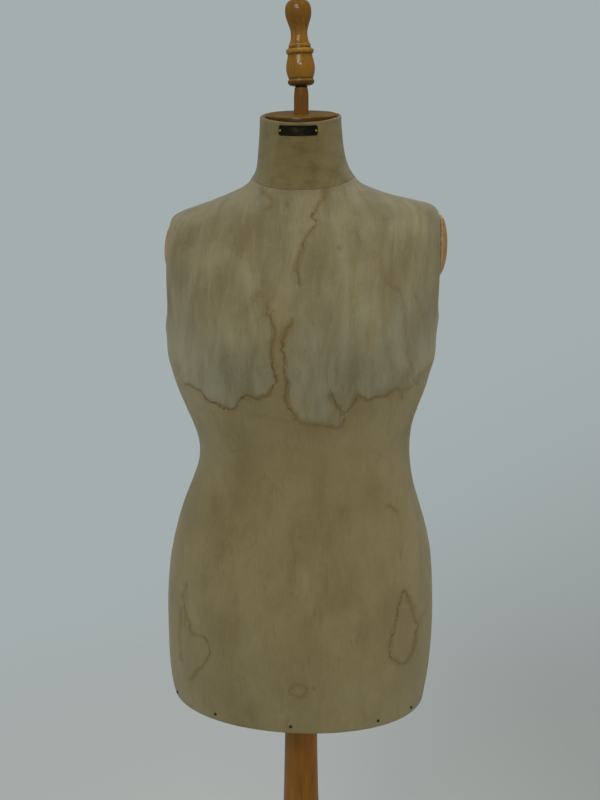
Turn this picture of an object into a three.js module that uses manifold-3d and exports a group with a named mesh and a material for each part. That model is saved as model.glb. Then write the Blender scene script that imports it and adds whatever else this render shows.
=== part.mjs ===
// Tailor's dress form: a linen-covered torso on a steel rod that slides in a
// turned wooden column with three curved legs.
// Units are millimetres. +Z is up, the chest faces -Y, +X is the form's left.
// Heights in this file count from the floor. Each piece is lowered as it is
// added, so that z = 0 is the underside of the iron plate under the column.
import * as THREE from 'three';
import { mergeVertices } from 'three/addons/utils/BufferGeometryUtils.js';
import Module from 'manifold-3d';

// ---- driving dimensions -------------------------------------------------
const GAP = 0.3;               // clearance between neighbouring solids
const COVER_T = 1.2;           // linen cover
const SHELL_T = 5;             // papier-mache shell
const SHELL_OUT = COVER_T + GAP;           // depth of the shell's outer face in the torso
const SHELL_IN = SHELL_OUT + SHELL_T;      // depth of its inner face
const ROD_R = 9;
const ROD_BORE = ROD_R + GAP;
const ROD_BOTTOM = 400;        // lower end at the lowest setting
const ROD_TOP = 1545.2;        // shoulder under the finial
const STUB_R = 4;              // thin end of the rod, inside the finial
const NECK_Z = 1507;           // neck's top plane at the axis
const NECK_SLOPE = 0.17;       // rise of that plane per millimetre of +Y
const CAP_R = 44.5;            // neck disc
const CAP_T = 9.5;
const ROLL = { reach: 47.4, radius: 2.55, lift: 3.3 };     // linen roll round the neck disc
const NECK_BLOCK = { radius: 42.6, height: 44, drop: 0.2 };  // drop: below the neck plane
const BOARD_Z0 = 748;          // oval base board in the hem
const BOARD_Z1 = 764;
const BUSH_T = 3;              // brass bush under the board
const BASE_SCREW_XY = 22.08;   // its screws' distance from the X and Y axes
const BASE_SCREW_HOLE_R = 2.3;
const COLLAR_PIN_Z = 740.4;    // cross pin through collar and rod
const WASHER_T = 2.4;          // top of the finial washer above ROD_TOP
const COLUMN_TOP = 731;
const COLUMN_BORE_Z = 380;     // bottom of the column's bore
const FERRULE_SEAT = COLUMN_TOP - 33;
const CLAMP_Z = 712;           // height of the rod clamp
const CLAMP_PAD_Y = ROD_R + GAP;           // face of the pad, next to the rod
const CLAMP_PAD_T = 5.2;
const IRON_Z = 78;             // underside of the iron plate under the column
const IRON_T = 4;
const HUB_R = 40;              // column's foot
const HUB_FLAT = 36;           // reach of the flats the legs sit on
const HUB_H = 112;
const HUB_Z0 = IRON_Z + IRON_T + GAP;
const HUB_Z1 = HUB_Z0 + HUB_H;
const LEG_ANGLES = [90, 210, 330].map((degrees) => degrees * Math.PI / 180);
const LEG_W = 28;              // leg thickness across
const LEG_BEVEL = 2;
const LEG_R = 285;             // reach of each foot from the axis
const FOOT_Z = 4.1;            // underside of the feet
const BOLT_Z = 140;            // leg bolts
const BOLT_HOLE_R = 3.6;
const BOLT_HEAD_R = 96;        // reach of the seat under each bolt's head
const IRON_SCREW_R = 60;       // reach of the iron plate's screws
const IRON_SCREW_HOLE_R = 2.4;
const GLIDE_R = 266;           // reach of the steel glides under the feet

// armhole planes stand at |x| = reach; the form's right shoulder sits lower
const ARM_Y = 12;
const ARM_DISC_R = 38;
const ARMS = [
  { name: 'left', side: 1, reach: 172.6, z: 1354, crown: 12 },
  { name: 'right', side: -1, reach: 161.6, z: 1344, crown: 14.6 },
];
const [LEFT_ARM, RIGHT_ARM] = ARMS;

// ---- torso design -------------------------------------------------------
// A row number, whole or fractional, is a position in this table. Columns:
// left (+X) height, half width, right (-X) height, half width,
// front height, front y, back height, back y, section exponent
const RINGS = [
  [1507, 49.6, 1507, 51.2, 1498.5, -50, 1515.5, 50, 2],
  [1488, 51, 1488, 52, 1479, -52.5, 1497, 52.5, 2],
  [1468, 53.6, 1468, 53.8, 1457, -56.5, 1480, 56.5, 2],
  [1452, 58.2, 1452, 55.8, 1438, -61.5, 1467, 60.5, 2.02],
  [1440, 65.2, 1440, 60.5, 1424, -67.5, 1456, 65, 2.05],
  [1429, 77.5, 1428, 70.8, 1407, -76, 1441, 73, 2.1],
  [1418, 109, 1416, 97, 1387, -86, 1423, 83, 2.18],
  [1410.5, 142.6, 1406, 124, 1365, -96, 1402, 93, 2.25],
  [1404.5, 163.6, 1397.5, 148.1, 1344, -105, 1380, 100, 2.28],
  [1393, 174.5, 1387.5, 166.6, 1322, -113, 1354, 106, 2.28],
  [1376, 182.4, 1373, 175.4, 1300, -120, 1327, 110, 2.28],
  [1352, 187.2, 1350, 182, 1280, -124.5, 1301, 111.5, 2.28],
  [1325, 187.2, 1323, 182, 1262, -126.5, 1278, 110.5, 2.28],
  [1297, 182.2, 1295, 179, 1245, -127.5, 1257, 108, 2.28],
  [1268, 176.2, 1267, 175.5, 1228, -126.5, 1237, 104.5, 2.28],
  [1243, 173.4, 1242, 173, 1212, -124.5, 1218, 101, 2.26],
  [1217, 172.5, 1217, 171.8, 1196, -121.5, 1199, 97, 2.25],
  [1196, 167.2, 1196, 167.5, 1180, -118.5, 1181, 93.5, 2.22],
  [1173, 161.2, 1173, 160.8, 1163, -115, 1163, 90, 2.2],
  [1149, 152.5, 1149, 151.5, 1145, -111, 1145, 86.5, 2.18],
  [1124, 145.4, 1124, 141.5, 1123, -107, 1123, 84, 2.16],
  [1098, 142.8, 1098, 134.5, 1099, -104.5, 1099, 83, 2.15],
  [1072, 143.9, 1072, 135.6, 1075, -105, 1075, 86, 2.15],
  [1043, 149.1, 1043, 145.2, 1047, -108.5, 1047, 95, 2.15],
  [1014, 157.7, 1014, 157, 1017, -114, 1017, 106, 2.15],
  [985, 166.3, 985, 166.3, 987, -119.5, 987, 117, 2.15],
  [955, 173.1, 955, 174, 956, -124, 956, 126, 2.15],
  [920, 176.8, 920, 179.6, 920, -127.5, 920, 132, 2.15],
  [872, 178.9, 872, 183, 872, -129.5, 872, 134, 2.15],
  [825, 178.6, 825, 183.5, 825, -129, 825, 131, 2.12],
  [785, 176.2, 785, 182.6, 785, -127.5, 785, 126, 2.08],
  [755, 172.2, 755, 180.2, 755, -126, 755, 121, 2.03],
  [742, 170.1, 742, 177.4, 742, -125, 742, 119, 2.02],
];
const LAST_ROW = RINGS.length - 1;
const BUST = {
  peaks: [[83, 1252, 30], [-83, 1250, 30]],    // x, height, rise
  halfWidth: 50,
  above: 78,                   // spread above and below each peak
  below: 50,
  sideFade: 1.6,               // how fast the rise comes in from the side seams
};
// the +X half's section exponent grows by `extra` over `rows` rows
const HEM_SQUARING = { fromRow: 28, rows: 3, extra: 0.18 };
// power of |sin| that blends side height into front and back height: 1, then 2
const HEIGHT_BLEND = { fromRow: 4, rows: 3 };
// the sides are held inside the armhole planes, less so going down from topZ
const ARM_FLAT = { topZ: 1292, drop: 90, release: 60, blend: 4 };

// rows of the surface grid; half a seam gap either side of the neck seam
const NECK_SEAM = 4;
const ROW_EDGE = 0.03;
const NECK_ROWS = [0, 0.5, 1.4, 2.6, NECK_SEAM - ROW_EDGE];
const BODY_ROWS = [
  NECK_SEAM + ROW_EDGE, 5, 5.7, 6.4, 7.1, 7.9, 8.9, 10, 11.4, 12.8, 14.2, 15.6,
  17, 18.6, 20, 21, 22, 23.4, 25, 26.8, 28.6, 30.4, LAST_ROW - ROW_EDGE,
];
const SHELL_ROWS = [
  ...NECK_ROWS.slice(0, -1), NECK_SEAM, ...BODY_ROWS.slice(1, -1), LAST_ROW - 0.08,
];
const QUARTER = Math.PI / 2;
const QUARTER_COLUMNS = 9;     // grid columns per quarter turn
const ANGLE_EDGE = 0.0022;     // half the seam gap, radians

// ---- solid helpers ------------------------------------------------------
const wasm = await Module();
wasm.setup();

function toManifold(geometry) {
  const loose = geometry.index ? geometry.toNonIndexed() : geometry.clone();
  loose.deleteAttribute('normal');
  loose.deleteAttribute('uv');
  const welded = mergeVertices(loose, 1e-4);
  const corners = welded.index.array;
  const triangles = [];
  for (let i = 0; i < corners.length; i += 3) {
    const [a, b, c] = corners.subarray(i, i + 3);
    if (a !== b && b !== c && a !== c) triangles.push(a, b, c);
  }
  return new wasm.Manifold(new wasm.Mesh({
    numProp: 3,
    vertProperties: new Float32Array(welded.attributes.position.array),
    triVerts: new Uint32Array(triangles),
  }));
}

function fromManifold(solid) {
  const mesh = solid.getMesh();
  const geometry = new THREE.BufferGeometry();
  const positions = new Float32Array(mesh.vertProperties);
  geometry.setAttribute('position', new THREE.BufferAttribute(positions, 3));
  geometry.setIndex(new THREE.BufferAttribute(new Uint32Array(mesh.triVerts), 1));
  return geometry;
}

function cut(geometry, ...tools) {
  return fromManifold(tools.reduce((m, t) => m.subtract(toManifold(t)), toManifold(geometry)));
}

function join(geometry, ...others) {
  return fromManifold(others.reduce((m, o) => m.add(toManifold(o)), toManifold(geometry)));
}

// turned solid about +Z from [radius, height] pairs
function turned(profile, segments = 20) {
  const points = profile.map(([radius, z]) => new THREE.Vector2(radius, z));
  return new THREE.LatheGeometry(points, segments).rotateX(Math.PI / 2);
}

// turned solid whose profile heights run along a direction from a position
function turnedAlong(profile, direction, position, segments = 20) {
  const axis = new THREE.Vector3(...direction).normalize();
  const turn = new THREE.Quaternion().setFromUnitVectors(new THREE.Vector3(0, 0, 1), axis);
  return turned(profile, segments).applyQuaternion(turn).translate(...position);
}

function cylinderAlong(radius, length, direction, position, segments) {
  const profile = [[0, 0], [radius, 0], [radius, length], [0, length]];
  return turnedAlong(profile, direction, position, segments);
}

const cylinderUp = (radius, z0, z1, segments, x = 0, y = 0) =>
  cylinderAlong(radius, z1 - z0, [0, 0, 1], [x, y, z0], segments);

const rodBore = (z0, z1) => cylinderUp(ROD_BORE, z0, z1, 20);

// flat plate from an outline of [x, y] pairs
function plate(points, z0, z1) {
  const shape = new THREE.Shape(points.map(([x, y]) => new THREE.Vector2(x, y)));
  return new THREE.ExtrudeGeometry(shape, { depth: z1 - z0, bevelEnabled: false })
    .translate(0, 0, z0);
}

// ---- torso surface ------------------------------------------------------
const clamp01 = (x) => Math.min(Math.max(x, 0), 1);

// smaller of two values, with a rounded change-over
function smoothMin(a, b, width) {
  const h = clamp01(0.5 + 0.5 * (b - a) / width);
  return b * (1 - h) + a * h - width * h * (1 - h);
}

// ring columns at a fractional row, by a smooth cubic through the table
function ringAt(row) {
  const i = Math.min(Math.floor(row), LAST_ROW - 1);
  const t = row - i;
  const start = RINGS[i];
  const end = RINGS[i + 1];
  const before = RINGS[Math.max(i - 1, 0)];
  const after = RINGS[Math.min(i + 2, LAST_ROW)];
  return start.map((a, k) => {
    const slope0 = i === 0 ? end[k] - a : (end[k] - before[k]) / 2;
    const slope1 = i === LAST_ROW - 1 ? end[k] - a : (after[k] - a) / 2;
    return (2 * t ** 3 - 3 * t ** 2 + 1) * a + (t ** 3 - 2 * t ** 2 + t) * slope0
      + (3 * t ** 2 - 2 * t ** 3) * end[k] + (t ** 3 - t ** 2) * slope1;
  });
}

const rampDown = (row, { fromRow, rows }) => clamp01((row - fromRow) / rows);

// angle: 0 at +X, -90 degrees at the chest
function skinPoint(row, angle) {
  const [leftZ, leftX, rightZ, rightX, frontZ, frontY, backZ, backY, exponent] = ringAt(row);
  const cos = Math.cos(angle);
  const sin = Math.sin(angle);
  const power = exponent + (cos >= 0 ? HEM_SQUARING.extra : 0) * rampDown(row, HEM_SQUARING);
  const [halfWidth, sideZ] = cos >= 0 ? [leftX, leftZ] : [rightX, rightZ];
  const [halfDepth, middleZ] = sin < 0 ? [-frontY, frontZ] : [backY, backZ];
  let x = halfWidth * Math.sign(cos) * Math.abs(cos) ** (2 / power);
  let y = halfDepth * Math.sign(sin) * Math.abs(sin) ** (2 / power);
  const z = sideZ + (middleZ - sideZ) * Math.abs(sin) ** (1 + rampDown(row, HEIGHT_BLEND));
  const release = clamp01((ARM_FLAT.topZ - z) / ARM_FLAT.drop) ** 2 * ARM_FLAT.release;
  x = x > 0
    ? smoothMin(x, LEFT_ARM.reach + release, ARM_FLAT.blend)
    : -smoothMin(-x, RIGHT_ARM.reach + release, ARM_FLAT.blend);
  if (sin < 0) {
    for (const [peakX, peakZ, rise] of BUST.peaks) {
      const dx = (x - peakX) / BUST.halfWidth;
      const dz = (z - peakZ) / (z > peakZ ? BUST.above : BUST.below);
      y -= rise * Math.exp(-(dx ** 2) - dz * dz) * clamp01(-sin * BUST.sideFade);
    }
  }
  return new THREE.Vector3(x, y, z);
}

// outward normal, from differences over small steps
function skinNormal(row, angle) {
  const rowStep = 0.02;
  const angleStep = 0.01;
  const down = skinPoint(Math.min(row + rowStep, LAST_ROW), angle)
    .sub(skinPoint(Math.max(row - rowStep, 0), angle));
  const around = skinPoint(row, angle + angleStep).sub(skinPoint(row, angle - angleStep));
  return around.cross(down).normalize().multiplyScalar(-1);
}

function pointUnder(row, angle, depth) {
  const normal = skinNormal(row, angle);
  // the top edge stays in the neck's sloping plane and the hem stays level
  const edgeRows = 0.5;
  const top = clamp01(1 - row / edgeRows);
  const hem = clamp01(1 - (LAST_ROW - row) / edgeRows);
  normal.z *= 1 - top - hem;
  normal.normalize();
  normal.z += NECK_SLOPE * normal.y * top;
  return skinPoint(row, angle).addScaledVector(normal, -depth);
}

// row, below the shoulders, where the surface has a given height
function rowAtHeight(z, angle) {
  let upper = 8;
  let lower = LAST_ROW;
  for (let k = 0; k < 40; k++) {
    const middle = (upper + lower) / 2;
    if (skinPoint(middle, angle).z > z) upper = middle;
    else lower = middle;
  }
  return (upper + lower) / 2;
}

// solid sheet between two depths under the surface; closed: runs all round
function sheet(rows, angles, outer, inner, closed = false) {
  const columns = angles.length;
  const positions = [];
  const index = [];
  for (const depth of [outer, inner]) {
    for (const row of rows) {
      for (const angle of angles) positions.push(...pointUnder(row, angle, depth));
    }
  }
  const at = (layer, j, i) => (layer * rows.length + j) * columns + (i % columns);
  const quad = (a, b, c, d) => index.push(a, b, c, a, c, d);
  const spans = closed ? columns : columns - 1;
  const lastRow = rows.length - 1;
  for (let j = 0; j < lastRow; j++) {
    for (let i = 0; i < spans; i++) {
      quad(at(0, j, i), at(0, j + 1, i), at(0, j + 1, i + 1), at(0, j, i + 1));
      quad(at(1, j, i), at(1, j, i + 1), at(1, j + 1, i + 1), at(1, j + 1, i));
    }
  }
  // top and bottom edges
  for (let i = 0; i < spans; i++) {
    quad(at(0, 0, i), at(0, 0, i + 1), at(1, 0, i + 1), at(1, 0, i));
    quad(at(0, lastRow, i + 1), at(0, lastRow, i), at(1, lastRow, i), at(1, lastRow, i + 1));
  }
  // side edges
  if (!closed) {
    for (let j = 0; j < lastRow; j++) {
      quad(at(0, j + 1, 0), at(0, j, 0), at(1, j, 0), at(1, j + 1, 0));
      quad(at(0, j, spans), at(0, j + 1, spans), at(1, j + 1, spans), at(1, j, spans));
    }
  }
  const geometry = new THREE.BufferGeometry();
  geometry.setAttribute('position', new THREE.Float32BufferAttribute(positions, 3));
  geometry.setIndex(index);
  return geometry;
}

const spread = (from, to, steps) =>
  Array.from({ length: steps + 1 }, (_, i) => from + (to - from) * i / steps);
const ALL_ROUND = spread(0, 4 * QUARTER, 4 * QUARTER_COLUMNS).slice(0, -1);

// ---- materials and assembly ---------------------------------------------
const MATERIALS = {
  linen: { color: 0x8a7e5c, roughness: 0.92, metalness: 0 },
  papier: { color: 0x8b7a5a, roughness: 0.95, metalness: 0 },
  beech: { color: 0x83602f, roughness: 0.45, metalness: 0 },
  innerWood: { color: 0xa88a5c, roughness: 0.8, metalness: 0 },
  brownRod: { color: 0x5a3a1e, roughness: 0.45, metalness: 0 },
  blackPlate: { color: 0x1c1a16, roughness: 0.5, metalness: 0.8 },
  brass: { color: 0x9a7a38, roughness: 0.4, metalness: 1 },
  steel: { color: 0x54524e, roughness: 0.45, metalness: 1 },
  leather: { color: 0x2c1c12, roughness: 0.8, metalness: 0 },
};
const root = new THREE.Group();
root.name = 'dress_form';

function add(name, geometry, material) {
  geometry.translate(0, 0, -IRON_Z);
  const mesh = new THREE.Mesh(geometry, new THREE.MeshStandardMaterial(MATERIALS[material]));
  mesh.name = name;
  root.add(mesh);
}

// ---- fastenings through the torso skin ----------------------------------
const skinSite = (row, angle) =>
  ({ angle, point: skinPoint(row, angle), normal: skinNormal(row, angle) });

// hole along the normal, from a depth under the skin
function skinHole({ point, normal }, radius, depth, length) {
  return cylinderAlong(radius, length, normal, point.clone().addScaledVector(normal, -depth), 8);
}

// tacks round the hem, driven through cover and shell into the base board
const TACK_Z = (BOARD_Z0 + BOARD_Z1) / 2;
const TACK_LENGTH = 13;
const tackSites = [-2.74, -2.19, -1.594, -0.93, -0.516, 0.62, 1.50, 2.52]
  .map((angle) => skinSite(rowAtHeight(TACK_Z, angle), angle));
const tackHole = (site) => skinHole(site, 1.1, TACK_LENGTH + 0.6, TACK_LENGTH + 6);

// name plate on the front of the neck, with a pin at each end
const NAME_PLATE = { topRow: 0.04, bottomRow: 0.66, halfAngle: 0.49, outer: -1.25 };
const PIN_LENGTH = 4.6;
const pinSites = [-0.43, 0.43].map((angle) => skinSite(0.34, -QUARTER + angle));
const pinHole = (site) => skinHole(site, 1, PIN_LENGTH + 0.5, PIN_LENGTH + 6);

// arm pieces: profile heights and hole ends count outward from the armhole plane
const alongArm = ({ side, reach, z }, profile, segments) =>
  turnedAlong(profile, [side, 0, 0], [side * reach, ARM_Y, z], segments);
const armHole = ({ side, reach, z }, radius, from, to) =>
  cylinderAlong(radius, to - from, [side, 0, 0], [side * (reach + from), ARM_Y, z], 12);
const armSkinHole = (arm) => armHole(arm, 3, -40, 14);

// ---- torso: shells and covers -------------------------------------------
// part of the skin over some quarter turns, with its tack holes and any others
function panel(rows, firstQuarter, quarters, [outer, inner], ...holes) {
  const from = firstQuarter * QUARTER;
  const to = (firstQuarter + quarters) * QUARTER;
  const angles = spread(from, to, quarters * QUARTER_COLUMNS);
  angles[0] += ANGLE_EDGE;
  angles[angles.length - 1] -= ANGLE_EDGE;
  const tackHoles = tackSites.filter(({ angle }) => angle > from && angle < to).map(tackHole);
  return cut(sheet(rows, angles, outer, inner), ...tackHoles, ...holes);
}
const SHELL = [SHELL_OUT, SHELL_IN];
const COVER = [0, COVER_T];

add('front_shell', panel(SHELL_ROWS, -2, 2, SHELL, ...pinSites.map(pinHole)), 'papier');
add('back_shell', panel(SHELL_ROWS, 0, 2, SHELL, ...ARMS.map(armSkinHole)), 'papier');
add('front_cover', panel(BODY_ROWS, -2, 2, COVER), 'linen');
add('back_cover_left', panel(BODY_ROWS, 0, 1, COVER, armSkinHole(LEFT_ARM)), 'linen');
add('back_cover_right', panel(BODY_ROWS, 1, 1, COVER, armSkinHole(RIGHT_ARM)), 'linen');
add('neck_cover',
  cut(sheet(NECK_ROWS, ALL_ROUND, ...COVER, true), ...pinSites.map(pinHole)), 'linen');

// ---- neck ---------------------------------------------------------------
// rolled edge of the linen round the neck disc, in the neck's sloping plane
function neckPiping() {
  const points = ALL_ROUND.map((angle) => {
    const x = ROLL.reach * Math.cos(angle);
    const y = ROLL.reach * Math.sin(angle);
    return new THREE.Vector3(x, y, NECK_Z + NECK_SLOPE * y + ROLL.lift);
  });
  const circle = new THREE.Shape();
  circle.absarc(0, 0, ROLL.radius, 0, Math.PI * 2, false);
  return new THREE.ExtrudeGeometry(circle, {
    steps: 36,
    curveSegments: 4,
    extrudePath: new THREE.CatmullRomCurve3(points, true),
    bevelEnabled: false,
  });
}

function neckCap() {
  const disc = turned([
    [0, GAP], [CAP_R - 0.8, GAP], [CAP_R, 1.1], [CAP_R, CAP_T - 3.2],
    [CAP_R - 0.7, CAP_T - 1.7], [CAP_R - 2.2, CAP_T - 0.5], [CAP_R - 4.6, CAP_T], [0, CAP_T],
  ], 30);
  disc.rotateX(Math.atan(NECK_SLOPE)).translate(0, 0, NECK_Z);
  return cut(disc, rodBore(NECK_Z - 20, NECK_Z + 30));
}

// upright wall, ends parallel to the sloping neck plane
function neckBlock() {
  const { radius, height, drop } = NECK_BLOCK;
  const block = turned([[0, 0], [radius, 0], [radius, height], [0, height]], 26);
  const points = block.attributes.position;
  for (let i = 0; i < points.count; i++) {
    points.setZ(i, points.getZ(i) + NECK_SLOPE * points.getY(i) + NECK_Z - height - drop);
  }
  return cut(block, rodBore(NECK_Z - 70, NECK_Z + 30), ...pinSites.map(pinHole));
}

add('neck_piping', neckPiping(), 'linen');
add('neck_cap', neckCap(), 'beech');
add('neck_block', neckBlock(), 'innerWood');

// ---- base board, bush, screws, tacks ------------------------------------
const BUSH_Z1 = BOARD_Z0 - GAP;
const BUSH_Z0 = BUSH_Z1 - BUSH_T;
const baseScrews = [[1, 1], [-1, 1], [-1, -1], [1, -1]]
  .map(([x, y]) => [x * BASE_SCREW_XY, y * BASE_SCREW_XY]);
const baseScrewHoles = (z0, z1) =>
  baseScrews.map(([x, y]) => cylinderUp(BASE_SCREW_HOLE_R, z0, z1, 10, x, y));

// the outline clears the shell at whichever face of the board is narrower
function baseBoard() {
  const depth = SHELL_IN + GAP + 0.9;
  const outline = Array.from({ length: 40 }, (_, i) => {
    const angle = i / 40 * 2 * Math.PI;
    const [low, high] = [BOARD_Z0, BOARD_Z1]
      .map((z) => pointUnder(rowAtHeight(z, angle), angle, depth));
    const { x, y } = Math.hypot(low.x, low.y) < Math.hypot(high.x, high.y) ? low : high;
    return [x, y];
  });
  return cut(plate(outline, BOARD_Z0, BOARD_Z1), rodBore(740, 770),
    ...tackSites.map(tackHole), ...baseScrewHoles(BOARD_Z0 - 1, BOARD_Z0 + 12));
}

function baseBush() {
  const disc = turned([
    [0, BUSH_Z0], [40, BUSH_Z0], [40.8, BUSH_Z0 + 0.6], [40.8, BUSH_Z1], [0, BUSH_Z1],
  ], 24);
  return cut(disc, rodBore(740, 752), ...baseScrewHoles(735, 775));
}

const BASE_SCREW = [[0, -2], [2.4, -1.7], [3.6, -0.6], [3.8, 0], [2, 0], [2, 12], [0, 14]];
const TACK = [
  [0, -TACK_LENGTH], [0.8, -TACK_LENGTH + 2], [0.8, GAP], [3, GAP], [2.7, 1.1], [1.6, 1.9],
  [0, 2.2],
];
add('base_board', baseBoard(), 'innerWood');
add('base_bush', baseBush(), 'brass');
baseScrews.forEach(([x, y], i) => {
  add(`base_screw_${i + 1}`, turned(BASE_SCREW, 12).translate(x, y, BUSH_Z0 - GAP), 'steel');
});
tackSites.forEach(({ point, normal }, i) => {
  add(`hem_tack_${i + 1}`, turnedAlong(TACK, normal, point, 10), 'steel');
});

// ---- name plate ---------------------------------------------------------
function namePlate() {
  const { topRow, bottomRow, halfAngle, outer } = NAME_PLATE;
  const rows = [topRow, (topRow + bottomRow) / 2, bottomRow];
  const angles = spread(-QUARTER - halfAngle, -QUARTER + halfAngle, 10);
  return cut(sheet(rows, angles, outer, -GAP - 0.05), ...pinSites.map(pinHole));
}

const PLATE_PIN = [
  [0, -PIN_LENGTH], [0.7, -PIN_LENGTH + 1.2], [0.7, 1.5], [1.9, 1.5], [1.6, 2.2], [0, 2.6],
];
add('name_plate', namePlate(), 'blackPlate');
pinSites.forEach(({ point, normal }, i) => {
  add(`plate_pin_${i ? 'left' : 'right'}`, turnedAlong(PLATE_PIN, normal, point, 10), 'brass');
});

// ---- arm discs, blocks and screws ---------------------------------------
// [inset from the rim, height]: the domed face, scaled to each arm's crown height
const ARM_DOME = [
  [0, 3.2], [1.6, 5.2], [5, 6.8], [11, 9.1], [19, 11.2], [28, 12.4], [ARM_DISC_R, 12.9],
];
const ARM_DOME_H = 12.9;
const ARM_BLOCK_OUT = -(SHELL_IN + 1.6);
const ARM_BLOCK_IN = ARM_BLOCK_OUT - 15;
const ARM_HOLE_R = 2.6;

function armCap(arm) {
  const scale = arm.crown / ARM_DOME_H;
  const disc = alongArm(arm, [
    [0, 0.35], [ARM_DISC_R - 1.2, 0.35], [ARM_DISC_R, 1.4],
    ...ARM_DOME.map(([inset, height]) => [ARM_DISC_R - inset, height * scale]),
  ], 22);
  return cut(disc, armHole(arm, ARM_HOLE_R, -2, 8));
}

function armBlock(arm) {
  const block = alongArm(arm, [
    [0, ARM_BLOCK_IN], [25, ARM_BLOCK_IN], [26.5, ARM_BLOCK_IN + 2],
    [26.5, ARM_BLOCK_OUT], [0, ARM_BLOCK_OUT],
  ], 20);
  return cut(block, armHole(arm, ARM_HOLE_R, ARM_BLOCK_IN - 3, ARM_BLOCK_OUT + 2));
}

function armScrew(arm) {
  const seat = ARM_BLOCK_IN - GAP;
  return alongArm(arm, [
    [0, seat - 2.4], [2.6, seat - 2.2], [4, seat - 1.2], [4.3, seat], [2.2, seat],
    [2.2, 5], [0, 7.4],
  ], 12);
}

for (const arm of ARMS) add(`arm_cap_${arm.name}`, armCap(arm), 'beech');
for (const arm of ARMS) {
  add(`arm_block_${arm.name}`, armBlock(arm), 'innerWood');
  add(`arm_screw_${arm.name}`, armScrew(arm), 'steel');
}

// ---- rod, collar, finial ------------------------------------------------
const crossPin = (radius, length) =>
  cylinderAlong(radius, length, [1, 0, 0], [-length / 2, 0, COLLAR_PIN_Z], 10);
const crossPinHole = () => crossPin(1.9, 60);

function rod() {
  return cut(turned([
    [0, ROD_BOTTOM], [ROD_R - 1, ROD_BOTTOM], [ROD_R, ROD_BOTTOM + 1],
    [ROD_R, ROD_TOP - 1], [ROD_R - 1, ROD_TOP],
    [STUB_R, ROD_TOP], [STUB_R, ROD_TOP + 29], [3.2, ROD_TOP + 30.2], [0, ROD_TOP + 30.2],
  ], 24), crossPinHole());
}

function supportCollar() {
  const ring = turned([
    [0, 736], [16.5, 736], [17.5, 737], [17.5, 743.4], [16.5, 744.2], [0, 744.2],
  ], 20);
  return cut(ring, rodBore(730, 750), crossPinHole());
}

function finialWasher() {
  const z0 = ROD_TOP + GAP;
  const z1 = ROD_TOP + WASHER_T;
  const disc = turned([[0, z0], [7.4, z0], [7.8, ROD_TOP + 1.2], [7.4, z1], [0, z1]], 24);
  return cut(disc, cylinderUp(STUB_R + 0.35, ROD_TOP - 4, ROD_TOP + 8, 16));
}

// [radius, height above FINIAL_DATUM]
const FINIAL_DATUM = NECK_Z + 6;
const FINIAL = [
  [10.4, 34.9], [13.6, 35.7], [15.8, 37.5], [16.3, 39.6], [15.6, 41.8], [14.9, 43.6],
  [15.9, 46.4], [17.1, 50.2], [17.6, 54.6], [17.3, 59.4], [16.2, 64.5], [15, 70],
  [15.3, 72], [16.8, 73.9], [17.1, 75.8], [15.9, 77.6], [13.8, 79.2], [13.4, 82.6],
  [11.6, 85.9], [10.5, 90.2], [10.2, 94.5], [10.6, 99.2], [12, 104], [13.8, 109],
  [15.3, 114], [16, 119.4], [15.6, 125.2], [13.6, 129.8], [8.6, 133.7], [7.5, 137.2],
  [8.2, 141.6], [6.6, 145.4], [0, 147.6],
];

// the profile starts with the blind hole for the rod's stub
function finial() {
  const holeR = STUB_R + 0.4;
  const holeTop = ROD_TOP + 34;
  const outside = FINIAL.map(([radius, height]) => [radius, FINIAL_DATUM + height]);
  return turned([[0, holeTop], [holeR, holeTop - 1], [holeR, outside[0][1]], ...outside], 16);
}

add('rod', rod(), 'brownRod');
add('support_collar', supportCollar(), 'brass');
add('collar_pin', crossPin(1.6, 34), 'steel');
add('finial_washer', finialWasher(), 'leather');
add('finial', finial(), 'beech');

// ---- column -------------------------------------------------------------
// from the hub up the outside, over the ferrule's seat and down the bore
const COLUMN = [
  [0, HUB_Z0], [HUB_R - 2, HUB_Z0], [HUB_R, HUB_Z0 + 2], [HUB_R, HUB_Z1 - 3],
  [HUB_R - 2, HUB_Z1], [34, HUB_Z1 + 3], [33, HUB_Z1 + 8], [36.5, HUB_Z1 + 13],
  [37.5, HUB_Z1 + 19], [36, HUB_Z1 + 25], [31.5, HUB_Z1 + 30], [30, HUB_Z1 + 38],
  [31.8, HUB_Z1 + 60], [33.2, 300], [33.6, 340], [32.2, 400], [30, 460], [27.7, 515],
  [25.4, 558], [24, 610], [23, 662], [22.4, FERRULE_SEAT], [19.2, FERRULE_SEAT],
  [19.2, COLUMN_TOP - 1], [18.2, COLUMN_TOP], [ROD_BORE, COLUMN_TOP],
  [ROD_BORE, COLUMN_BORE_Z], [0, COLUMN_BORE_Z],
];
const onLeg = (angle, reach) => [Math.cos(angle) * reach, Math.sin(angle) * reach];
const boltHole = (angle, radius, from, to, segments) => cylinderAlong(
  radius, to - from, [...onLeg(angle, 1), 0], [...onLeg(angle, from), BOLT_Z], segments);

// cuts one flat for a leg; it stops 2 below the hub's top
function flatCutter(angle) {
  const depth = 40;
  const height = HUB_H + 30;
  return new THREE.BoxGeometry(depth, LEG_W + 2, height)
    .translate(HUB_FLAT + depth / 2, 0, HUB_Z1 - 2 - height / 2)
    .rotateZ(angle);
}

add('column', cut(
  turned(COLUMN, 24),
  ...LEG_ANGLES.flatMap((angle) => [
    flatCutter(angle),
    boltHole(angle, BOLT_HOLE_R, HUB_FLAT - 24, HUB_FLAT + 16, 10),
  ]),
  cylinderAlong(4.6, 30, [0, 1, 0], [0, 0, CLAMP_Z], 16),
), 'beech');

// ---- ferrule and rod clamp ----------------------------------------------
// clamp pieces lie along +Y; their profile heights are y
const SCREW_R = 4.1;
const alongClamp = (profile, segments = 20) =>
  turnedAlong(profile, [0, 1, 0], [0, 0, CLAMP_Z], segments);

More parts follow.
